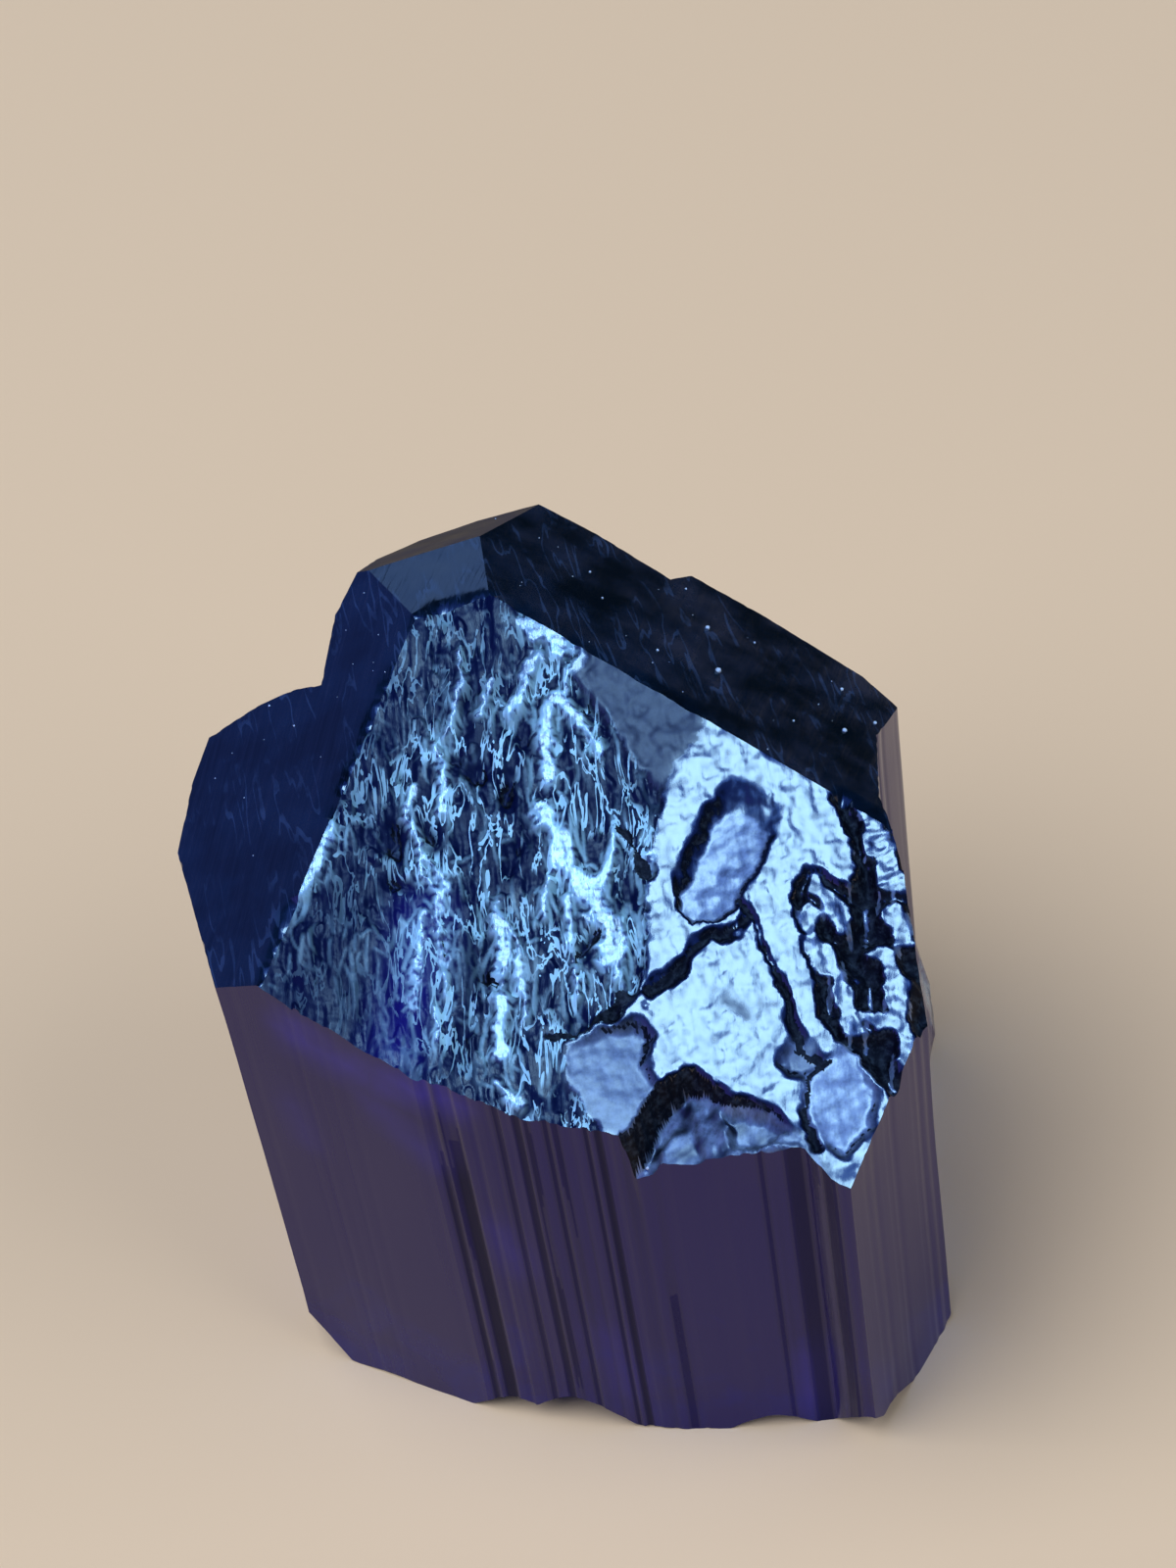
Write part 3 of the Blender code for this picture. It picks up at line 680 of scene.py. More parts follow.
# %% Ledge at the rim
LEDGE = (
    (-3.1, -0.9), (-2.2, -0.4), (-1.3, 0.5), (-0.5, 0.8), (0.3, 0.8), (0.8, 0.2), (1.5, -0.5), (2.7, -1.6),
    (3.4, -2.6), (3.8, -3.9), (3.9, -7.0), (-3.1, -7.0),
)
LEDGE_PLATES = (  # outline, depth in the middle, lean along u, lean along v
    (((-2.7, -2.6), (-2.2, -1.5), (-1.6, -0.6), (-0.9, -0.3), (-0.3, -0.6), (-0.4, -1.8), (-0.7, -3.2),
      (-2.4, -4.0)), 1.20, -0.06, 0.16),
    (((0.9, -0.6), (1.5, -0.9), (2.4, -1.8), (2.9, -2.4), (1.7, -2.5), (0.9, -2.0)), 0.78, -0.10, 0.12),
)
LEDGE_CHIPS = ((-1.2, -2.5), (0.2, -2.4), (1.6, -2.7), (3.0, -3.1))
scoop = np.maximum(1.25 - 0.51 * u + 0.28 * v, 0.72 - 0.14 * u + 0.08 * v)
scoop = scoop + 0.08 * bumps(0.5, 50) + 0.03 * bumps(0.2, 52)
for patch, middle_depth, lean_u, lean_v in LEDGE_PLATES:
    share = fall(outline_distance(ragged, patch), 0.30)
    plate = middle_depth + (SHEET - np.mean(patch, axis=0)) @ (lean_u, lean_v) + 1.5 * pits + 0.4 * crumbs
    scoop = scoop * (1 - share) + share * plate
chips = fall(path_distance(ragged, LEDGE_CHIPS) - 0.10 * worn, 0.2)
scoop = scoop - 0.25 * chips
on_ledge = fall(outline_distance(ragged, LEDGE), 0.32)
ledge_floor = on_ledge > 0.95
depth = np.maximum(depth, scoop * on_ledge)
dull = np.maximum(dull, 0.7 * on_ledge)
on_floors |= ledge_floor
# On the ledge floor the pale colour is pale powder and painted sheen, standing in for light that the tilted
# floor does not mirror.
chalk_and_sheen = np.maximum(chalk_and_sheen, ledge_floor * np.clip(0.55 + 0.7 * bumps(0.45, 66), 0, 1))
print("ledge:", len(LEDGE_PLATES), "plates on its floor")

# %% The finished sheets
FRAYED_TO = 0.6  # no loose fibres deeper than this
depth += 0.012 * (1 + bumps(2.2, 41)) + 0.018 * (1 + bumps(0.5, 42)) + 0.006 * bumps(0.18, 39)
depth = np.maximum(depth, 0)
RELIEF, ETCHED, DULL, CHALK_AND_SHEEN, FRAYED, THREADED, FELT, SLATE, PIT = (
    sheet.reshape(len(V_LINES), len(U_LINES)) for sheet in (
        depth, etched, dull, chalk_and_sheen, frayed * (depth < FRAYED_TO), threaded, etched * (1 - raised),
        mottled * (1 - raised), np.where(on_floors, -1.0, pit),
    )
)
print("relief: down to", round(float(RELIEF.max()), 2), "mm")

# %% [markdown]
# ## Roof, walls and base
#
# The roof is the lowest facet at each point, less the relief on the front facet. The walls carry growth
# striations, which run up a scapolite prism like fine fluting. The base is a fresh break. The striations
# could be bump alone, but the widest of them notch the rim and the foot, so they are cut into the outline.

# %% Heights
def facet_lean(name):
    """How fast a facet falls along x and along y."""
    turn, slope, _ = FACETS[name]
    return slope * np.array((math.cos(math.radians(turn)), math.sin(math.radians(turn))))


def facet_height(name, xy):
    """How high a facet's plane lies over each point, past its own edges too."""
    return FACETS[name][2] - xy @ facet_lean(name)


def lowest_facet(xy):
    """The number of the facet that roofs each point."""
    return np.argmin([facet_height(name, xy) for name in FACETS], axis=0)


def front_coordinates(xy):
    """u and v on the front facet."""
    across = (xy[:, 0] + xy[:, 1]) * DIAGONAL
    up_slope = ((xy[:, 1] - xy[:, 0]) * DIAGONAL - FRONT_ZERO) / FRONT_STRETCH
    return np.column_stack((across, up_slope))


def roof_height(xy):
    """The roof over each point. Growth faces swell by a few hundredths of a millimetre."""
    front = facet_height("front", xy) - read_sheet(front_coordinates(xy), RELIEF)
    others = [facet_height(name, xy) for name in FACETS if name != "front"]
    swell = 0.02 * (1 + waves(xy, 3.0, 51)) + 0.012 * (1 + waves(xy, 1.1, 58))
    height = np.minimum.reduce([front, *[other - swell for other in others]])
    return np.minimum(height, SOLID_BOX[1][2] / MM)


def base_height(xy):
    """How far the broken base stands clear of the floor."""
    height = 0.12 * np.maximum(waves(xy, 1.6, 61), 0) + 0.05 * np.maximum(waves(xy, 0.6, 62), 0)
    for x, y, radius, high in BASE_SCOOPS:
        reach = 1 - np.hypot(xy[:, 0] - x, xy[:, 1] - y) / radius
        height = np.maximum(height, high * np.clip(reach, 0, 1))
    return height


print("top of the crystal:", round(float(roof_height(np.array([[-4.0, 3.5]]))[0]), 2), "mm")

# %% Walls
OUTLINE_GRAIN = 0.16
FRONT_WALL_Y = -11.5  # the plan's pieces with their middle below this carry striations
STRIATIONS = (  # distance along the outline, width, depth
    (8.7, 0.30, 0.14), (9.4, 0.55, 0.16), (11.3, 0.3, 0.10), (12.1, 0.35, 0.13), (13.2, 0.3, 0.10),
    (14.7, 0.2, 0.13), (15.15, 0.3, 0.15), (17.0, 0.4, 0.08), (21.15, 0.3, 0.08), (22.4, 0.8, 0.12),
    (23.9, 0.8, 0.10),
)


def sample_outline(grain):
    """Points along the outline: its corners, even steps between them, and where a ridge of the roof ends."""
    points = []
    for start, end in zip(PLAN, (*PLAN[1:], PLAN[0])):
        start, end = np.array(start), np.array(end)
        fineness = 2 if (start[1] + end[1]) / 2 < FRONT_WALL_Y else 1
        steps = max(1, round(fineness * np.linalg.norm(end - start) / grain))
        points += [start + (end - start) * k / steps for k in range(steps)]
    points = np.array(points)
    facet, names, found = lowest_facet(points), list(FACETS), []
    for k, point in enumerate(points):
        found.append(point)
        following = (k + 1) % len(points)
        if facet[k] != facet[following]:
            ends = np.array((point, points[following]))
            gap = facet_height(names[facet[k]], ends) - facet_height(names[facet[following]], ends)
            share = gap[0] / (gap[0] - gap[1])
            if 0.1 < share < 0.9:
                found.append(point + share * (ends[1] - point))
    return np.array(found)


def outward(points):
    """The outward direction at each point of an anticlockwise loop."""
    run = np.roll(points, -1, axis=0) - np.roll(points, 1, axis=0)
    run /= np.linalg.norm(run, axis=1)[:, None]
    return np.column_stack((run[:, 1], -run[:, 0]))


def striation_depth(along):
    """How deep the growth lines cut the wall, at distances along the outline."""
    lines = np.column_stack((along, np.zeros(len(along))))
    fine = np.clip(waves(lines, 0.28, 71), 0, 1) * np.clip((along - 7) / 3, 0.2, 1)
    depth = 0.05 * fine
    for middle, width, deep in STRIATIONS:
        depth = np.maximum(depth, 0.5 * deep * fall(np.abs(along - middle) - width / 2, 0.18))
    return depth


outline = sample_outline(OUTLINE_GRAIN)
AROUND = np.r_[0, np.cumsum(np.linalg.norm(np.diff(outline, axis=0), axis=1))]
OUTWARD = outward(outline)
RING = outline - OUTWARD * striation_depth(AROUND)[:, None]
print("outline:", len(RING), "points over", round(float(AROUND[-1]), 1), "mm")

# %% [markdown]
# ## One closed mesh
#
# The roof and the base are filled with triangles over the same ring of points, finest where the etching is
# finest, and the walls join the two rings. A displaced grid would be simpler, but it would blur the ridges
# between facets and spend as many triangles on smooth faces. Each face knows its zone, which marks the sharp
# edges and picks the material. A UV map in millimetres follows each surface, so that patterns keep their
# scale.

# %% Nets of points and the ridges between facets
FELT_GRAIN, FLAT_GRAIN, PLAIN_GRAIN = 0.068, 0.10, 0.45  # spacing of points, in millimetres
WALL_LEVELS = 24
PLAN_REACH = 17.0  # a distance from the middle that is beyond the crystal in every direction
EDGE_GAP, RIDGE_GAP = 0.35, 0.4  # free of inner points beside an edge or a ridge, as shares of the spacing


def net(spacing):
    """A triangular net of points over the plan."""
    rows = []
    columns = np.arange(-PLAN_REACH, PLAN_REACH, spacing)
    for row, y in enumerate(np.arange(-PLAN_REACH, PLAN_REACH, spacing * math.sqrt(0.75))):
        shift = spacing / 2 if row % 2 else 0
        rows.append(np.column_stack([columns + shift, np.full(len(columns), y)]))
    return np.concatenate(rows)


def ridges(grain):
    """Points along each ridge between two facets, as one chain for each ridge."""
    names, chains = list(FACETS), []
    for i, one in enumerate(names):
        for other in names[i + 1:]:
            across = facet_lean(one) - facet_lean(other)
            size = across @ across
            foot = across * (FACETS[one][2] - FACETS[other][2]) / size
            along = np.array((-across[1], across[0])) / math.sqrt(size)
            line = foot + np.arange(-PLAN_REACH, PLAN_REACH, grain)[:, None] * along
            lowest = np.min([facet_height(name, line) for name in names], axis=0)
            on_ridge = facet_height(one, line) <= lowest + MM
            if on_ridge.sum() > 1:
                chains.append(line[on_ridge])
    return chains


print("ridges:", len(ridges(FLAT_GRAIN)))

# %% Roof and base
def fill(loop, inner, chains):
    """Anticlockwise triangles over a loop, with inner points, keeping each chain's pieces as edges."""
    points, edges = [*loop, *inner], []
    for chain in chains:
        first = len(points)
        points += list(chain)
        edges += [(first + k, first + k + 1) for k in range(len(chain) - 1)]
    made = geometry.delaunay_2d_cdt(
        [Vector(point) for point in points], edges, [list(range(len(loop)))], 1, 1e-5
    )
    return np.array([tuple(point) for point in made[0]]), np.array(made[2])


ring_edge = tuple(map(tuple, RING[::3]))
felt_points, flat_points, plain_points = net(FELT_GRAIN), net(FLAT_GRAIN), net(PLAIN_GRAIN)


def clear_of_edge(points, grain):
    """The points that keep clear of the outline."""
    return points[outline_distance(points, ring_edge) < -EDGE_GAP * max(grain, OUTLINE_GRAIN)]


def on_front(points):
    """Whether the front facet roofs each point."""
    return lowest_facet(points) == list(FACETS).index("front")


felt_points = felt_points[on_front(felt_points) & (read_sheet(front_coordinates(felt_points), ETCHED) > 0.5)]
flat_points = flat_points[on_front(flat_points) & (read_sheet(front_coordinates(flat_points), ETCHED) <= 0.5)]
others = plain_points[~on_front(plain_points)]
felt_points, flat_points = clear_of_edge(felt_points, FELT_GRAIN), clear_of_edge(flat_points, FLAT_GRAIN)
others, plain_points = clear_of_edge(others, PLAIN_GRAIN), clear_of_edge(plain_points, PLAIN_GRAIN)
chains = []
for chain in ridges(FLAT_GRAIN):
    chain = clear_of_edge(chain, FLAT_GRAIN)
    felt_points = felt_points[path_distance(felt_points, chain[::4]) > RIDGE_GAP * FELT_GRAIN]
    flat_points = flat_points[path_distance(flat_points, chain[::4]) > RIDGE_GAP * FLAT_GRAIN]
    others = others[path_distance(others, chain[::4]) > RIDGE_GAP * PLAIN_GRAIN]
    chains.append(chain)
roof, roof_faces = fill(RING, np.concatenate((felt_points, flat_points, others)), chains)
base, base_faces = fill(RING, plain_points, [])
print("roof:", len(roof_faces), "triangles; base:", len(base_faces))

# %% Rings of points up the walls
# A milky swelling bulges from the run behind the right wall, and the walls wave by a few hundredths.
BLISTER_MIDDLE = (33.5, 18.0)  # along the outline, and up the wall
BLISTER_HEIGHT = 0.46
BLISTER_START = 31.8  # the corner before it, along the outline
WALL_WAVE = 0.035
count = len(RING)
top, bottom = roof_height(roof), base_height(base)
places = [np.column_stack((base, bottom))]
rows = [np.arange(count)]
blister = fall(np.abs(AROUND - BLISTER_MIDDLE[0]) - 1.4, 1.6) * np.clip((AROUND - BLISTER_START) / 0.8, 0, 1)
for step in range(1, WALL_LEVELS):
    share = step / WALL_LEVELS
    height = bottom[:count] + share * (top[:count] - bottom[:count])
    rim_fade = min(share, 1 - share, 0.1) * 10
    patches = waves(np.column_stack((AROUND, height)), 3.0, 81, stretch=2.0)
    inset = rim_fade * WALL_WAVE * (1.2 + patches)
    up_blister = fall(np.abs(height - BLISTER_MIDDLE[1]) - 2.2, 2.6)
    inset = inset - BLISTER_HEIGHT * blister * up_blister * min(1, 8 * (1 - share))
    rows.append(np.arange(count) + sum(map(len, places)))
    places.append(np.column_stack((RING - OUTWARD * inset[:, None], height)))
roof_start = sum(map(len, places))
places.append(np.column_stack((roof, top)))
rows.append(np.arange(count) + roof_start)
places = np.concatenate(places)
print("points:", len(places))

# %% Faces and their zones
FRONT, BACK = list(FACETS).index("front"), list(FACETS).index("back")
BASE, WALL = 9, 10  # facets are numbered as in FACETS, and stretches of wall from 10 on
CORNER_TURN = 5  # degrees: where the outline turns by more, a new stretch of wall starts
turned = np.degrees(np.arccos(np.clip(np.sum(OUTWARD * np.roll(OUTWARD, 1, axis=0), axis=1), -1, 1)))
stretch_of_wall = np.cumsum(turned > CORNER_TURN)
faces, zones = [], []
for face in roof_faces:
    faces.append(tuple(face + roof_start))
zones += list(lowest_facet(roof[roof_faces].mean(axis=1)))
for face in base_faces:
    faces.append(tuple(face[::-1]))
zones += [BASE] * len(base_faces)
for lower, upper in zip(rows[:-1], rows[1:]):
    for k in range(count):
        after = (k + 1) % count
        faces.append((lower[k], lower[after], upper[after], upper[k]))
        zones.append(WALL + stretch_of_wall[k])
mesh = bpy.data.meshes.new("scapolite")
mesh.from_pydata(places * MM, [], faces)
zones = np.array(zones)
print("mesh:", len(mesh.polygons), "faces, closed column")

# %% The millimetre map
# Front facet: u and v. Walls: distance along the outline, and height. Elsewhere: the plan.
uv_layer = mesh.uv_layers.new(name="millimetres")
loop_vertex = np.empty(len(mesh.loops), int)
mesh.loops.foreach_get("vertex_index", loop_vertex)
loop_face = np.repeat(np.arange(len(faces)), [len(face) for face in faces])
xyz = places[loop_vertex]
face_starts = np.r_[0, np.cumsum([len(face) for face in faces])[:-1]]
map_uv = xyz[:, :2].copy()
is_front = zones[loop_face] == FRONT
map_uv[is_front] = front_coordinates(xyz[is_front, :2])
is_wall = zones[loop_face] >= WALL
column = np.zeros(len(places), int)
for row in rows:
    column[row] = np.arange(count)
around = AROUND[column[loop_vertex]]
furthest = np.maximum.reduceat(around, face_starts)
wraps = is_wall & (around == 0) & (furthest[loop_face] > AROUND[-1] / 2)  # the last face back to the start
around[wraps] = AROUND[-1] + OUTLINE_GRAIN
map_uv[is_wall] = np.column_stack((around, xyz[:, 2]))[is_wall]
uv_layer.data.foreach_set("uv", map_uv.ravel())
print("map:", np.round(map_uv.min(axis=0), 1), "to", np.round(map_uv.max(axis=0), 1), "mm")

# %% Sharp edges and finishes
# The finishes are numbered in the order in which the mesh gets its materials.
(
    KEPT_GLASS, GROWTH_FACE, WALL_FACE, BROKEN_FACE, PIT_WALL, RUBBED_FACE, FELT_FACE, FROSTED_FACE, STRIATION
) = range(9)
FACET_NORMAL = Vector((1, -1, math.sqrt(2) / PYRAMID_SLOPE)).normalized()
STEEP = 0.87  # cosine of the angle with the facet: 30 degrees
PIT_FROM = 0.16  # depth from which a steep face is a pit's wall, with its painted shade
on_facet = front_coordinates(places[:, :2])
sunk, in_pit, in_felt, in_slate = (read_sheet(on_facet, sheet) for sheet in (RELIEF, PIT, FELT, SLATE))
shape = bmesh.new()
shape.from_mesh(mesh)
for edge in shape.edges:
    one, other = edge.link_faces
    edge.smooth = bool(zones[one.index] == zones[other.index])
for face in shape.faces:
    face.smooth = True
    zone = zones[face.index]
    plain = WALL_FACE if zone >= WALL else GROWTH_FACE
    face.material_index = {FRONT: KEPT_GLASS, BACK: RUBBED_FACE, BASE: BROKEN_FACE}.get(int(zone), plain)
    if zone == FRONT:
        corners = [corner.index for corner in face.verts]
        in_pits, felted = in_pit[corners].mean(), in_felt[corners].mean()
        # Steep faces deep in the relief, and the broken floors, take the dark pit finish: painted shade there.
        steep = face.normal.dot(FACET_NORMAL) < STEEP and sunk[corners].mean() > PIT_FROM + 0.3 * felted
        if (steep and in_pits > -0.5) or in_pits > 0.5:
            face.material_index = PIT_WALL
        elif felted > 0.5:
            face.material_index = FELT_FACE
        elif in_slate[corners].mean() > 0.5:
            face.material_index = FROSTED_FACE
shape.to_mesh(mesh)
shape.free()
print("sharp edges:", sum(edge.use_edge_sharp for edge in mesh.edges))

# %% Striations on the walls
# Striations are dark lines that fade out upwards: grooves, with painted shade laid along them, darker for the
# deeper ones. Where their share of a face passes a ragged limit, the face takes the finish that mirrors less,
# so that a line's end looks broken.
STRIPE_TOP = {8.7: 18.0, 9.4: 19.0, 17.0: 12.0}  # where a striation is gone; the others reach past the rim
PAST_RIM, OFF_WALL = 26, 99.0
DEEPEST_STRIATION = 0.16
on_ring = np.isin(np.arange(len(places)), np.concatenate(rows))
wall_place = np.column_stack((np.where(on_ring, AROUND[column], OFF_WALL), places[:, 2]))
stripes_and_shade = np.zeros(len(places))
for middle, width, deep in STRIATIONS:
    fade = np.clip((STRIPE_TOP.get(middle, PAST_RIM) - wall_place[:, 1]) / 4, 0, 1)
    across = fall(np.abs(wall_place[:, 0] - middle) - width / 2, 0.14)
    stripes_and_shade = np.maximum(stripes_and_shade, fade * deep / DEEPEST_STRIATION * across)
# Fine dark lines in the lined stretches: painted shade of fine striations.
lined = fall(np.abs(wall_place[:, 0] - 12.8) - 4.0, 2.0) + fall(np.abs(wall_place[:, 0] - 23.0) - 1.6, 1.0)
comes_and_goes = np.clip(0.6 + 0.8 * waves(wall_place * (1, 0.12), 0.7, 72), 0, 1)
fine_lines = np.clip(1.6 * waves(wall_place * (1, 0.004), 0.20, 73) - 0.2, 0, 1)
stripes_and_shade = np.maximum(stripes_and_shade, 0.7 * np.clip(lined, 0, 1) * comes_and_goes * fine_lines)
finish_of_face = np.empty(len(faces), np.int32)
mesh.polygons.foreach_get("material_index", finish_of_face)
ragged_end = 0.42 + 0.22 * waves(np.column_stack((AROUND, np.zeros(count))), 0.12, 74)
stripe_share = np.add.reduceat(stripes_and_shade[loop_vertex], face_starts) / 4  # a wall's face has four corners
striped = stripe_share > ragged_end[column[loop_vertex[face_starts]]]
finish_of_face[striped & (zones >= WALL)] = STRIATION
mesh.polygons.foreach_set("material_index", finish_of_face)
print("dark striation faces:", int((finish_of_face == STRIATION).sum()))

# %% Violet glows, milky patch and the attributes
VIOLET_PATH = ((-7.4, 9.6), (-8.6, 7.4), (-9.8, 5.4))  # on the front facet, where violet shows between fibres
GLOW_BANDS = (  # path (along the outline, height), width, strength: where violet light leaves the wall
    (((3.2, 21.6), (5.0, 20.6), (6.6, 20.2), (8.6, 20.3)), 1.4, 0.9),
    (((8.8, 20.6), (9.6, 19.6)), 1.0, 0.9),
    (((6.2, 18.4), (7.4, 17.2), (8.4, 16.2)), 1.0, 0.45),
    (((10.4, 12.2), (10.9, 10.2)), 0.9, 0.5),
    (((2.2, 16.8), (2.4, 15.0)), 0.8, 0.35),
    (((22.2, 4.4), (22.0, 1.4)), 0.9, 0.7),
    (((14.0, 6.0), (14.6, 3.0)), 1.4, 0.3),
)
glow = np.zeros(len(places))
for path, width, strength in GLOW_BANDS:
    glow = np.maximum(glow, 0.6 * strength * fall(path_distance(wall_place, path) - width / 2, 2.2))
from_blister = np.hypot(wall_place[:, 0] - BLISTER_MIDDLE[0], (wall_place[:, 1] - BLISTER_MIDDLE[1]) / 2)
milky = fall(from_blister - 0.9, 2.0)
for name, values in {
    "etched": read_sheet(on_facet, ETCHED),
    "dull": read_sheet(on_facet, DULL),
    "chalk_and_sheen": read_sheet(on_facet, CHALK_AND_SHEEN),
    "frayed": read_sheet(on_facet, FRAYED),
    "threaded": read_sheet(on_facet, THREADED),
    "violet": fall(path_distance(on_facet, VIOLET_PATH) - 1.0, 2.4),
    "stripe_and_shade": stripes_and_shade,
    "lined": lined,
    "glow": glow,
    "milky": milky,
}.items():
    layer = mesh.attributes.new(name, "FLOAT", "POINT")
    layer.data.foreach_set("value", values.astype(np.float32))
crystal = bpy.data.objects.new("scapolite", mesh)
bpy.context.scene.collection.objects.link(crystal)
only_crystal.objects.link(crystal)
print("attributes:", [layer.name for layer in mesh.attributes if layer.domain == "POINT"])

# %% [markdown]
# ## Materials
#
# Scapolite is a framework silicate with a glassy surface: index of refraction about 1.56, so it mirrors a
# twentieth of the light that meets it square on and far more at a grazing angle. The violet is so deep that
# almost no light comes back out of the stone. It could be drawn as dark glass, but light paths inside it
# would all end black, so the base colours are opaque and very dark, and the lights do most of the rest.
# Some light and shade is painted into the colours: violet glows and a bluer foot on the walls, glints on
# fibres, channel floors and pit walls, sheen on ribs and the ledge floor, and shade in striations, pits,
# grooves and channels.
#
# The etched face needs more than one finish. Where the old surface is kept it mirrors like glass. Etching
# turns the rest into a felt of fine fibres whose pores swallow light, so it mirrors about a fifth as much, is
# rougher and has frayed threads on it, whose glints are painted pale in the base colour. The slate-coloured
# ground is frosted, between the two. They could be one material that mixes the specular level by an
# attribute, but a level that is mixed gets lost when the model is exported, so one function makes three. Its
# patterns follow the map in millimetres.

# %% Painted thread glints, and pale powder with painted sheen, on the etched face
THREAD_WIDTH = 0.024  # a share of the noise's range, for the painted glints along threads. Real threads are thinner, too thin to show


def thread_glint_cover(tree, place, leaning):
    """How much pale thread colour covers a point: painted glints where fibre ends catch the light. Threads lie
    where a noise crosses its middle, so they wander.
    """
    threads = add(tree, "ShaderNodeTexNoise", inputs={
        "Vector": leaning.outputs[0], "Scale": 1.5, "Detail": 3.0, "Roughness": 0.6, "Distortion": 0.7,
    })
    on_thread = add(tree, "ShaderNodeMath", {"operation": "COMPARE"}, {
        0: threads.outputs[0], 1: 0.5, 2: THREAD_WIDTH,
    })
    clumps = add(tree, "ShaderNodeTexNoise", inputs={
        "Vector": place.outputs[0], "Scale": 0.55, "Detail": 2.0,
    })
    where = add(tree, "ShaderNodeMapRange", inputs={
        "Value": clumps.outputs[0], "From Min": 0.42, "From Max": 0.52,
    })
    thread_glint_share = add(tree, "ShaderNodeMath", {"operation": "MULTIPLY"}, {
        0: on_thread.outputs[0], 1: where.outputs[0],
    })
    allowed = add(tree, "ShaderNodeAttribute", {"attribute_name": "threaded"})
    thread_glint_etch = add(tree, "ShaderNodeMath", {"operation": "MULTIPLY"}, {
        0: thread_glint_share.outputs[0], 1: allowed.outputs["Fac"],
    })
    frayed = add(tree, "ShaderNodeAttribute", {"attribute_name": "frayed"})
    all_thread_glints = add(tree, "ShaderNodeMath", {"operation": "MAXIMUM"}, {
        0: thread_glint_etch.outputs[0], 1: frayed.outputs["Fac"],
    })
    return all_thread_glints.outputs[0]


def chalk_and_sheen_cover(tree, place):
    """How much pale colour covers a point: pale powder, and painted sheen on the ribs and the ledge floor, from
    its attribute, crumbled by noise.
    """
    chalk_and_sheen_attribute = add(tree, "ShaderNodeAttribute", {"attribute_name": "chalk_and_sheen"})
    crumbled = add(tree, "ShaderNodeTexNoise", inputs={
        "Vector": place.outputs[0], "Scale": 3.0, "Detail": 5.0, "Roughness": 0.7,
    })
    uneven = add(tree, "ShaderNodeMapRange", inputs={
        "Value": crumbled.outputs[0], "From Min": 0.36, "From Max": 0.64, "To Min": 0.45, "To Max": 1.3,
    })
    chalk_and_sheen_here = add(tree, "ShaderNodeMath", {"operation": "MULTIPLY", "use_clamp": True}, {
        0: chalk_and_sheen_attribute.outputs["Fac"], 1: uneven.outputs[0],
    })
    return chalk_and_sheen_here.outputs[0]


print("threads and chalk follow the map", mesh.uv_layers[0].name)

# %% Etched face: kept glass, felt and frosted ground
def etched_material(name, mirroring):
    """One finish of the etched face. mirroring is its specular level, which pores lower."""
    material, out = new_material(name)
    tree = material.node_tree
    etch = add(tree, "ShaderNodeAttribute", {"attribute_name": "etched"})
    dullness = add(tree, "ShaderNodeAttribute", {"attribute_name": "dull"})
    violet = add(tree, "ShaderNodeAttribute", {"attribute_name": "violet"})
    place = add(tree, "ShaderNodeUVMap", {"uv_map": "millimetres"})
    leaning = add(tree, "ShaderNodeMapping", {"vector_type": "TEXTURE"}, {
        "Vector": place.outputs[0], "Rotation": (0, 0, -math.radians(FIBRE_LEAN)), "Scale": (1.0, 3.4, 1.0),
    })
    fibre_noise = add(tree, "ShaderNodeTexNoise", inputs={
        "Vector": leaning.outputs[0], "Scale": 7.0, "Detail": 3.0, "Roughness": 0.6,
    })
    fibre_strength = add(tree, "ShaderNodeMapRange", inputs={
        "Value": etch.outputs["Fac"], "To Min": 0.15, "To Max": 0.6,
    })
    bump = add(tree, "ShaderNodeBump", inputs={
        "Strength": fibre_strength.outputs[0], "Height": fibre_noise.outputs[0], "Distance": 0.03 * MM,
    })
    rough = add(tree, "ShaderNodeMapRange", inputs={
        "Value": dullness.outputs["Fac"], "To Min": 0.17, "To Max": 0.46,
    })
    ground = add(tree, "ShaderNodeMix", {"data_type": "RGBA"}, {
        "Factor": etch.outputs["Fac"], 6: linear("#04060c"), 7: linear("#050c22"),
    })
    tint = add(tree, "ShaderNodeMix", {"data_type": "RGBA"}, {
        "Factor": violet.outputs["Fac"], 6: ground.outputs[2], 7: linear("#17104a"),
    })
    # Pale powder, with painted sheen on the ribs and the ledge floor.
    chalk_and_sheen_mix = add(tree, "ShaderNodeMix", {"data_type": "RGBA"}, {
        "Factor": chalk_and_sheen_cover(tree, place), 6: tint.outputs[2], 7: linear("#6e7070"),
    })
    # Pale thread colour: painted glints on fibre ends that catch the light.
    threaded = add(tree, "ShaderNodeMix", {"data_type": "RGBA"}, {
        "Factor": thread_glint_cover(tree, place, leaning), 6: chalk_and_sheen_mix.outputs[2], 7: linear("#b8ceb4"),
    })
    surface = add(tree, "ShaderNodeBsdfPrincipled", inputs={
        "Base Color": threaded.outputs[2], "Roughness": rough.outputs[0], "IOR": 1.56,
        "Specular IOR Level": mirroring, "Normal": bump.outputs[0],
    })
    tree.links.new(surface.outputs[0], out.inputs["Surface"])
    return material


kept_glass = etched_material("etched_scapolite_face", 0.5)
felt = etched_material("fibrous_scapolite_felt", 0.11)
frosted = etched_material("frosted_scapolite_face", 0.30)
print("etched finishes:", [finish.name for finish in (kept_glass, felt, frosted)])

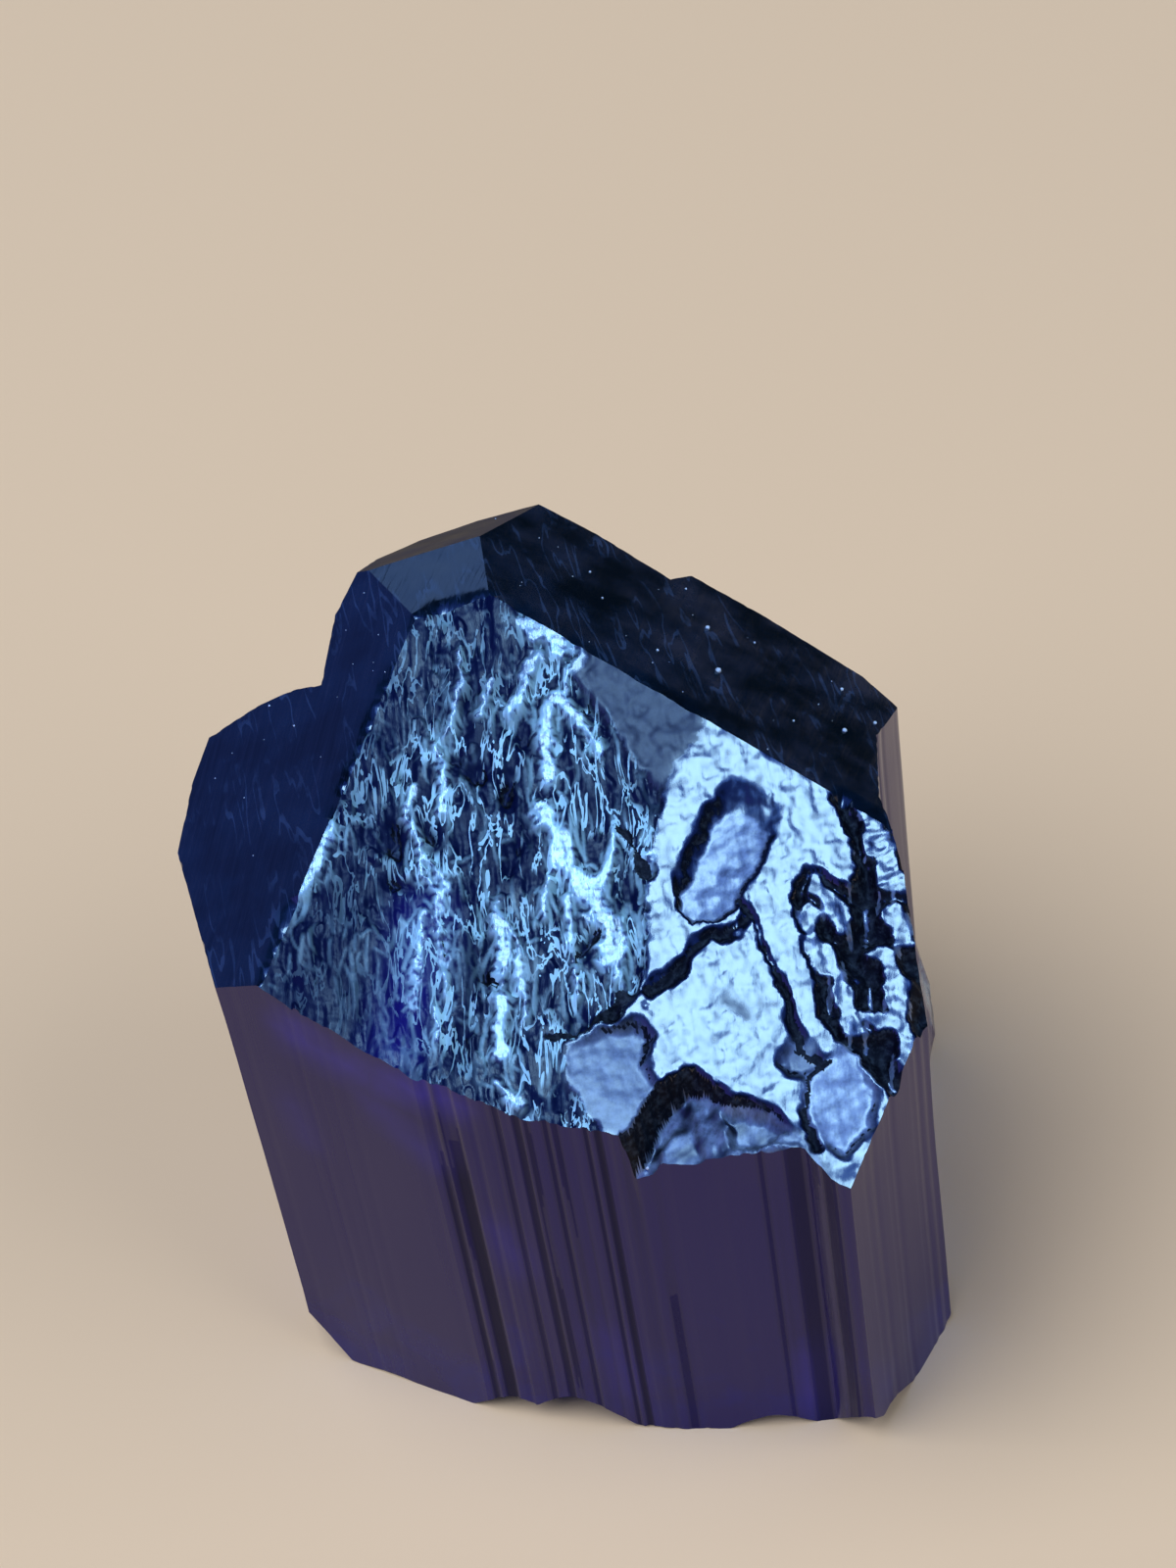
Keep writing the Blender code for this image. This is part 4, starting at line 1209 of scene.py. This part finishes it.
# %% Growth faces of the pyramid
# Grown, not broken, so they mirror like dark window glass, with faint growth lines. Hairline scratches, far
# thinner than a pixel on the real stone, are drawn just wide enough to show.
growth_face, out = new_material("glassy_scapolite_face")
tree = growth_face.node_tree
place = add(tree, "ShaderNodeTexCoord")
cloud = add(tree, "ShaderNodeTexNoise", inputs={
    "Vector": place.outputs["Object"], "Scale": 0.35 / MM, "Detail": 5.0, "Roughness": 0.6,
})
line_place = add(tree, "ShaderNodeMapping", {"vector_type": "TEXTURE"}, {
    "Vector": place.outputs["Object"], "Rotation": (0, 0, math.radians(12)),
    "Scale": (0.35 * MM, 5 * MM, 5 * MM),
})
growth_lines = add(tree, "ShaderNodeTexNoise", inputs={
    "Vector": line_place.outputs[0], "Scale": 1.0, "Detail": 3.0,
})
colour = add(tree, "ShaderNodeValToRGB", inputs={"Fac": cloud.outputs[0]})
colour.color_ramp.elements[0].position, colour.color_ramp.elements[0].color = 0.38, linear("#000407")
colour.color_ramp.elements[1].position, colour.color_ramp.elements[1].color = 0.70, linear("#071824")
rough = add(tree, "ShaderNodeMapRange", inputs={
    "Value": cloud.outputs[0], "From Min": 0.25, "From Max": 0.75, "To Min": 0.08, "To Max": 0.34,
})
bump = add(tree, "ShaderNodeBump", inputs={
    "Strength": 0.5, "Height": growth_lines.outputs[0], "Distance": 0.08 * MM,
})
hairlines = add(tree, "ShaderNodeMapping", {"vector_type": "TEXTURE"}, {
    "Vector": place.outputs["Object"], "Rotation": (0.5, 0, math.radians(38)),
    "Scale": (0.7 * MM, 7 * MM, 3 * MM),
})
scratch_noise = add(tree, "ShaderNodeTexNoise", inputs={
    "Vector": hairlines.outputs[0], "Scale": 1.0, "Detail": 2.0, "Distortion": 0.3,
})
on_scratch = add(tree, "ShaderNodeMath", {"operation": "COMPARE"}, {
    0: scratch_noise.outputs[0], 1: 0.5, 2: 0.018,
})
some = add(tree, "ShaderNodeMapRange", inputs={
    "Value": cloud.outputs[0], "From Min": 0.44, "From Max": 0.60, "To Max": 0.8,
})
scratch_share = add(tree, "ShaderNodeMath", {"operation": "MULTIPLY"}, {
    0: on_scratch.outputs[0], 1: some.outputs[0],
})
scratched = add(tree, "ShaderNodeMix", {"data_type": "RGBA"}, {
    "Factor": scratch_share.outputs[0], 6: colour.outputs[0], 7: linear("#2e3842"),
})
surface = add(tree, "ShaderNodeBsdfPrincipled", inputs={
    "Base Color": scratched.outputs[2], "Roughness": rough.outputs[0], "IOR": 1.56, "Normal": bump.outputs[0],
})
tree.links.new(surface.outputs[0], out.inputs["Surface"])
print("growth face:", len(tree.nodes), "nodes")

# %% Colour of the prism walls
# The stone's dark violet shows through, violet-brown above and indigo below. The bluer foot is painted
# reflection of the near floor, the dark striations carry painted shade, the violet glows are painted light
# that leaves the stone, and there is one milky patch.
def wall_colour(tree, place, cloud, stripe_and_shade):
    """The colour at each point of the walls, with painted reflection, shade and light. cloud is a noise, and
    the striation sheet says where striations are and how much shade is painted on them.
    """
    glowing = add(tree, "ShaderNodeAttribute", {"attribute_name": "glow"})
    milk = add(tree, "ShaderNodeAttribute", {"attribute_name": "milky"})
    height = add(tree, "ShaderNodeSeparateXYZ", inputs={"Vector": place.outputs[0]})
    # Bluer towards the foot: painted reflection of the near floor that the low wall mirrors.
    up = add(tree, "ShaderNodeMapRange", inputs={
        "Value": height.outputs["Y"], "From Min": 1.0, "From Max": 19.0,
    })
    mixed_up = add(tree, "ShaderNodeMath", {"operation": "MULTIPLY_ADD", "use_clamp": True}, {
        0: cloud.outputs[0], 1: 1.6, 2: up.outputs[0],
    })
    share = add(tree, "ShaderNodeMapRange", inputs={
        "Value": mixed_up.outputs[0], "From Min": 0.55, "From Max": 1.0,
    })
    tint_by_height = add(tree, "ShaderNodeMix", {"data_type": "RGBA"}, {
        "Factor": share.outputs[0], 6: linear("#171250"), 7: linear("#1f1340"),
    })
    # Violet glows: painted light where light leaves the stone.
    patchy_glow = add(tree, "ShaderNodeMath", {"operation": "MULTIPLY", "use_clamp": True}, {
        0: glowing.outputs["Fac"], 1: cloud.outputs[0],
    })
    lit = add(tree, "ShaderNodeMix", {"data_type": "RGBA"}, {
        "Factor": patchy_glow.outputs[0], 6: tint_by_height.outputs[2], 7: linear("#4a36a8"),
    })
    # Striations: painted shade in the grooves.
    shaded = add(tree, "ShaderNodeMix", {"data_type": "RGBA"}, {
        "Factor": stripe_and_shade.outputs["Fac"], 6: lit.outputs[2], 7: linear("#0a0724"),
    })
    flaky = add(tree, "ShaderNodeTexNoise", inputs={
        "Vector": place.outputs[0], "Scale": 1.3, "Detail": 5.0, "Roughness": 0.65, "Distortion": 0.5,
    })
    milk_here = add(tree, "ShaderNodeMath", {"operation": "MULTIPLY_ADD"}, {
        0: flaky.outputs[0], 1: 1.4, 2: milk.outputs["Fac"],
    })
    milk_share = add(tree, "ShaderNodeMapRange", inputs={
        "Value": milk_here.outputs[0], "From Min": 1.2, "From Max": 1.7, "To Max": 0.75,
    })
    milked = add(tree, "ShaderNodeMix", {"data_type": "RGBA"}, {
        "Factor": milk_share.outputs[0], 6: shaded.outputs[2], 7: linear("#8e9a88"),
    })
    return milked.outputs[2]


print("one milky patch, and", len(GLOW_BANDS), "glows")

# %% Prism walls
# Grown like the pyramid's faces, but finely lined, so they mirror the floor softly.
def wall_material(name, mirroring):
    """One finish of the prism walls, with its specular level."""
    material, out = new_material(name)
    tree = material.node_tree
    place = add(tree, "ShaderNodeUVMap", {"uv_map": "millimetres"})
    stripe_and_shade = add(tree, "ShaderNodeAttribute", {"attribute_name": "stripe_and_shade"})
    cloud = add(tree, "ShaderNodeTexNoise", inputs={
        "Vector": place.outputs[0], "Scale": 0.30, "Detail": 5.0, "Roughness": 0.6, "Distortion": 0.6,
    })
    line_place = add(tree, "ShaderNodeMapping", {"vector_type": "TEXTURE"}, {
        "Vector": place.outputs[0], "Scale": (0.22, 9.0, 1.0),
    })
    fine_lines = add(tree, "ShaderNodeTexNoise", inputs={
        "Vector": line_place.outputs[0], "Scale": 1.0, "Detail": 3.0,
    })
    base_rough = add(tree, "ShaderNodeMapRange", inputs={
        "Value": cloud.outputs[0], "To Min": 0.08, "To Max": 0.26,
    })
    rough = add(tree, "ShaderNodeMath", {"operation": "MULTIPLY_ADD"}, {
        0: stripe_and_shade.outputs["Fac"], 1: 0.24, 2: base_rough.outputs[0],
    })
    lined = add(tree, "ShaderNodeAttribute", {"attribute_name": "lined"})
    line_strength = add(tree, "ShaderNodeMapRange", inputs={
        "Value": lined.outputs["Fac"], "To Min": 0.12, "To Max": 0.5,
    })
    bump = add(tree, "ShaderNodeBump", inputs={
        "Strength": line_strength.outputs[0], "Height": fine_lines.outputs[0], "Distance": 0.03 * MM,
    })
    surface = add(tree, "ShaderNodeBsdfPrincipled", inputs={
        "Base Color": wall_colour(tree, place, cloud, stripe_and_shade), "Roughness": rough.outputs[0], "IOR": 1.56,
        "Specular IOR Level": mirroring, "Normal": bump.outputs[0],
    })
    tree.links.new(surface.outputs[0], out.inputs["Surface"])
    return material


prism_wall = wall_material("striated_scapolite_wall", 0.26)
# The striation finish carries the painted shade of the grooves.
striation = wall_material("shaded_scapolite_striation", 0.12)
print("wall finishes:", prism_wall.name, "and", striation.name)

# %% Steep walls of the pits, with painted shade and glints
# A hackly break: tiny steps that face every way, so it mirrors little. Its near-black colour and low specular
# level, on the steep deep faces of pits, grooves and channels, are partly painted shade, and its pale specks
# are painted glints.
shaded_hackly, out = new_material("hackly_scapolite_pit_wall_with_painted_shade")
tree = shaded_hackly.node_tree
place = add(tree, "ShaderNodeTexCoord")
chips = add(tree, "ShaderNodeTexNoise", inputs={
    "Vector": place.outputs["Object"], "Scale": 3.0 / MM, "Detail": 5.0, "Roughness": 0.7,
})
# Near black to pale grey on the noise: painted shade with painted glints.
colour = add(tree, "ShaderNodeValToRGB", inputs={"Fac": chips.outputs[0]})
colour.color_ramp.elements[0].position, colour.color_ramp.elements[0].color = 0.48, linear("#010103")
colour.color_ramp.elements[1].position, colour.color_ramp.elements[1].color = 0.72, linear("#30302c")
bump = add(tree, "ShaderNodeBump", inputs={
    "Strength": 0.6, "Height": chips.outputs[0], "Distance": 0.05 * MM,
})
surface = add(tree, "ShaderNodeBsdfPrincipled", inputs={
    "Base Color": colour.outputs[0], "Roughness": 0.62, "IOR": 1.56, "Specular IOR Level": 0.12,
    "Normal": bump.outputs[0],
})
tree.links.new(surface.outputs[0], out.inputs["Surface"])
print("pit wall:", len(tree.nodes), "nodes")

# %% Back face
# A growth face rubbed dull against its neighbours: the same dark stone, with a soft sheen only.
rubbed, out = new_material("rubbed_scapolite_face")
tree = rubbed.node_tree
place = add(tree, "ShaderNodeTexCoord")
cloud = add(tree, "ShaderNodeTexNoise", inputs={
    "Vector": place.outputs["Object"], "Scale": 0.6 / MM, "Detail": 5.0,
})
colour = add(tree, "ShaderNodeValToRGB", inputs={"Fac": cloud.outputs[0]})
colour.color_ramp.elements[0].position, colour.color_ramp.elements[0].color = 0.38, linear("#050509")
colour.color_ramp.elements[1].position, colour.color_ramp.elements[1].color = 0.68, linear("#16141f")
rough = add(tree, "ShaderNodeMapRange", inputs={"Value": cloud.outputs[0], "To Min": 0.40, "To Max": 0.66})
bump = add(tree, "ShaderNodeBump", inputs={
    "Strength": 0.5, "Height": cloud.outputs[0], "Distance": 0.08 * MM,
})
surface = add(tree, "ShaderNodeBsdfPrincipled", inputs={
    "Base Color": colour.outputs[0], "Roughness": rough.outputs[0], "IOR": 1.56, "Specular IOR Level": 0.25,
    "Normal": bump.outputs[0],
})
tree.links.new(surface.outputs[0], out.inputs["Surface"])
print("back face:", len(tree.nodes), "nodes")

# %% Broken base, and the materials in their order
# A rough conchoidal break, with curved steps that glint here and there.
broken, out = new_material("broken_scapolite")
tree = broken.node_tree
place = add(tree, "ShaderNodeTexCoord")
chips = add(tree, "ShaderNodeTexNoise", inputs={
    "Vector": place.outputs["Object"], "Scale": 0.8 / MM, "Detail": 4.0,
})
colour = add(tree, "ShaderNodeValToRGB", inputs={"Fac": chips.outputs[0]})
colour.color_ramp.elements[0].position, colour.color_ramp.elements[0].color = 0.35, linear("#0f0b26")
colour.color_ramp.elements[1].position, colour.color_ramp.elements[1].color = 0.70, linear("#332a66")
bump = add(tree, "ShaderNodeBump", inputs={
    "Strength": 0.8, "Height": chips.outputs[0], "Distance": 0.15 * MM,
})
surface = add(tree, "ShaderNodeBsdfPrincipled", inputs={
    "Base Color": colour.outputs[0], "Roughness": 0.4, "IOR": 1.56, "Normal": bump.outputs[0],
})
tree.links.new(surface.outputs[0], out.inputs["Surface"])
for material in (kept_glass, growth_face, prism_wall, broken, shaded_hackly, rubbed, felt, frosted, striation):
    mesh.materials.append(material)
print("materials:", [material.name for material in mesh.materials])

# %% [markdown]
# ## Mineral grains
#
# A few pale grains of another mineral cling to the pyramid facets and the front wall. They could be set one
# by one, but they repeat, so Geometry Nodes place them: the largest lie at chosen points and the dust is
# scattered with a fixed seed. Each is a crumb with twenty faces, partly sunk in the stone.

# %% Where the grains lie
GRAINS = (  # x and y in plan, radius
    (1.18, 9.76, 0.10), (2.89, 7.21, 0.13), (6.38, 10.88, 0.08), (8.24, 9.88, 0.08), (7.75, 8.12, 0.11),
    (0.84, 6.23, 0.06), (-2.18, 7.59, 0.05), (6.24, 6.78, 0.05), (2.76, 10.64, 0.05), (-0.70, 11.67, 0.05),
    (-12.57, -1.61, 0.05), (-10.79, -2.58, 0.04), (-6.52, 2.05, 0.04), (-3.4, 8.9, 0.05),
)
WALL_GRAINS = (  # distance along the outline, height, radius
    (5.41, 10.81, 0.16), (7.74, 6.95, 0.07), (9.41, 4.74, 0.08), (16.77, 16.62, 0.07), (13.25, 15.59, 0.06),
    (12.98, 16.45, 0.06), (22.33, 4.01, 0.07), (2.72, 15.83, 0.06),
)
DUST_COUNT, DUST_RADIUS, DUST_SEED = 36, 0.022, 17
DUST_LOW, DUST_HIGH = (-14, -8), (9, 12)  # corners of the patch of plan where dust is tried
CLEAR_OF_TOP = 0.3  # each grain that is kept ends this far below the highest place tried
rng = np.random.default_rng(DUST_SEED)
dust = rng.uniform(DUST_LOW, DUST_HIGH, (6 * DUST_COUNT, 2))
dust = dust[(outline_distance(dust, PLAN) < -0.5) & ~on_front(dust)][:DUST_COUNT]
middles = np.concatenate(([grain[:2] for grain in GRAINS], dust))
radii = np.concatenate(([grain[2] for grain in GRAINS], DUST_RADIUS * rng.uniform(0.6, 1.4, len(dust))))
places_of_grains = np.column_stack((middles, roof_height(middles) + 0.2 * radii))
below_top = places_of_grains[:, 2] + radii < roof_height(dust).max() - CLEAR_OF_TOP
places_of_grains, radii = places_of_grains[below_top], radii[below_top]
on_wall = np.array([
    (np.interp(along, AROUND, RING[:, 0]), np.interp(along, AROUND, RING[:, 1]) + 0.08 + 0.75 * radius, high)
    for along, high, radius in WALL_GRAINS
])
places_of_grains = np.concatenate((places_of_grains, on_wall))
radii = np.concatenate((radii, [radius for *_, radius in WALL_GRAINS]))
print("grains:", len(radii))

# %% Pale grain material
# Feldspar: a pale cloudy mineral with a dull break, so the grains show as warm white specks.
pale_grain, out = new_material("pale_feldspar_grain")
tree = pale_grain.node_tree
place = add(tree, "ShaderNodeTexCoord")
cloud = add(tree, "ShaderNodeTexNoise", inputs={
    "Vector": place.outputs["Object"], "Scale": 6 / MM, "Detail": 2.0,
})
colour = add(tree, "ShaderNodeValToRGB", inputs={"Fac": cloud.outputs[0]})
colour.color_ramp.elements[0].color = linear("#a89c84")
colour.color_ramp.elements[1].color = linear("#fff2d8")
surface = add(tree, "ShaderNodeBsdfPrincipled", inputs={
    "Base Color": colour.outputs[0], "Roughness": 0.55, "IOR": 1.53,
})
tree.links.new(surface.outputs[0], out.inputs["Surface"])
print("grain:", len(tree.nodes), "nodes")

# %% The grains as a node tree
grain_tree = bpy.data.node_groups.new("mineral_grains", "GeometryNodeTree")
panel = grain_tree.interface
panel.new_socket("Points", in_out="INPUT", socket_type="NodeSocketGeometry")
turn_seed = panel.new_socket("Turn seed", in_out="INPUT", socket_type="NodeSocketInt")
finish = panel.new_socket("Finish", in_out="INPUT", socket_type="NodeSocketMaterial")
panel.new_socket("Grains", in_out="OUTPUT", socket_type="NodeSocketGeometry")
given = add(grain_tree, "NodeGroupInput")
crumb = add(grain_tree, "GeometryNodeMeshIcoSphere", inputs={"Radius": 1.0, "Subdivisions": 1})
size = add(grain_tree, "GeometryNodeInputNamedAttribute", {"data_type": "FLOAT"}, {"Name": "radius"})
turned = add(grain_tree, "FunctionNodeRandomValue", {"data_type": "FLOAT_VECTOR"}, {
    "Max": (math.tau, math.tau, math.tau), "Seed": given.outputs["Turn seed"],
})
spread = add(grain_tree, "GeometryNodeInstanceOnPoints", inputs={
    "Points": given.outputs["Points"], "Instance": crumb.outputs["Mesh"],
    "Rotation": turned.outputs[0], "Scale": size.outputs[0],
})
real = add(grain_tree, "GeometryNodeRealizeInstances", inputs={"Geometry": spread.outputs[0]})
finished = add(grain_tree, "GeometryNodeSetMaterial", inputs={
    "Geometry": real.outputs[0], "Material": given.outputs["Finish"],
})
add(grain_tree, "NodeGroupOutput", inputs={"Grains": finished.outputs[0]})
print("grain tree:", len(grain_tree.nodes), "nodes")

# %% The grains as a mesh
TURN_SEED = 5
seeds_mesh = bpy.data.meshes.new("grain_points")
seeds_mesh.from_pydata(places_of_grains * MM, [], [])
radius_layer = seeds_mesh.attributes.new("radius", "FLOAT", "POINT")
radius_layer.data.foreach_set("value", (radii * MM).astype(np.float32))
seeds = bpy.data.objects.new("grain_points", seeds_mesh)
bpy.context.scene.collection.objects.link(seeds)
grower = seeds.modifiers.new("grains", "NODES")
grower.node_group = grain_tree
grower[turn_seed.identifier] = TURN_SEED
grower[finish.identifier] = pale_grain
grown = bpy.data.meshes.new_from_object(seeds.evaluated_get(bpy.context.evaluated_depsgraph_get()))
bpy.data.objects.remove(seeds)
grains = bpy.data.objects.new("mineral_grains", grown)
grown.name = "mineral_grains"
bpy.context.scene.collection.objects.link(grains)
only_crystal.objects.link(grains)
print("grain faces:", len(grown.polygons))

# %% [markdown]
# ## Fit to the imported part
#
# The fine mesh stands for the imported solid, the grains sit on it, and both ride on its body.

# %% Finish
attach(crystal, "root")
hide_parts("scapolite_crystal")
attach(grains, "root")
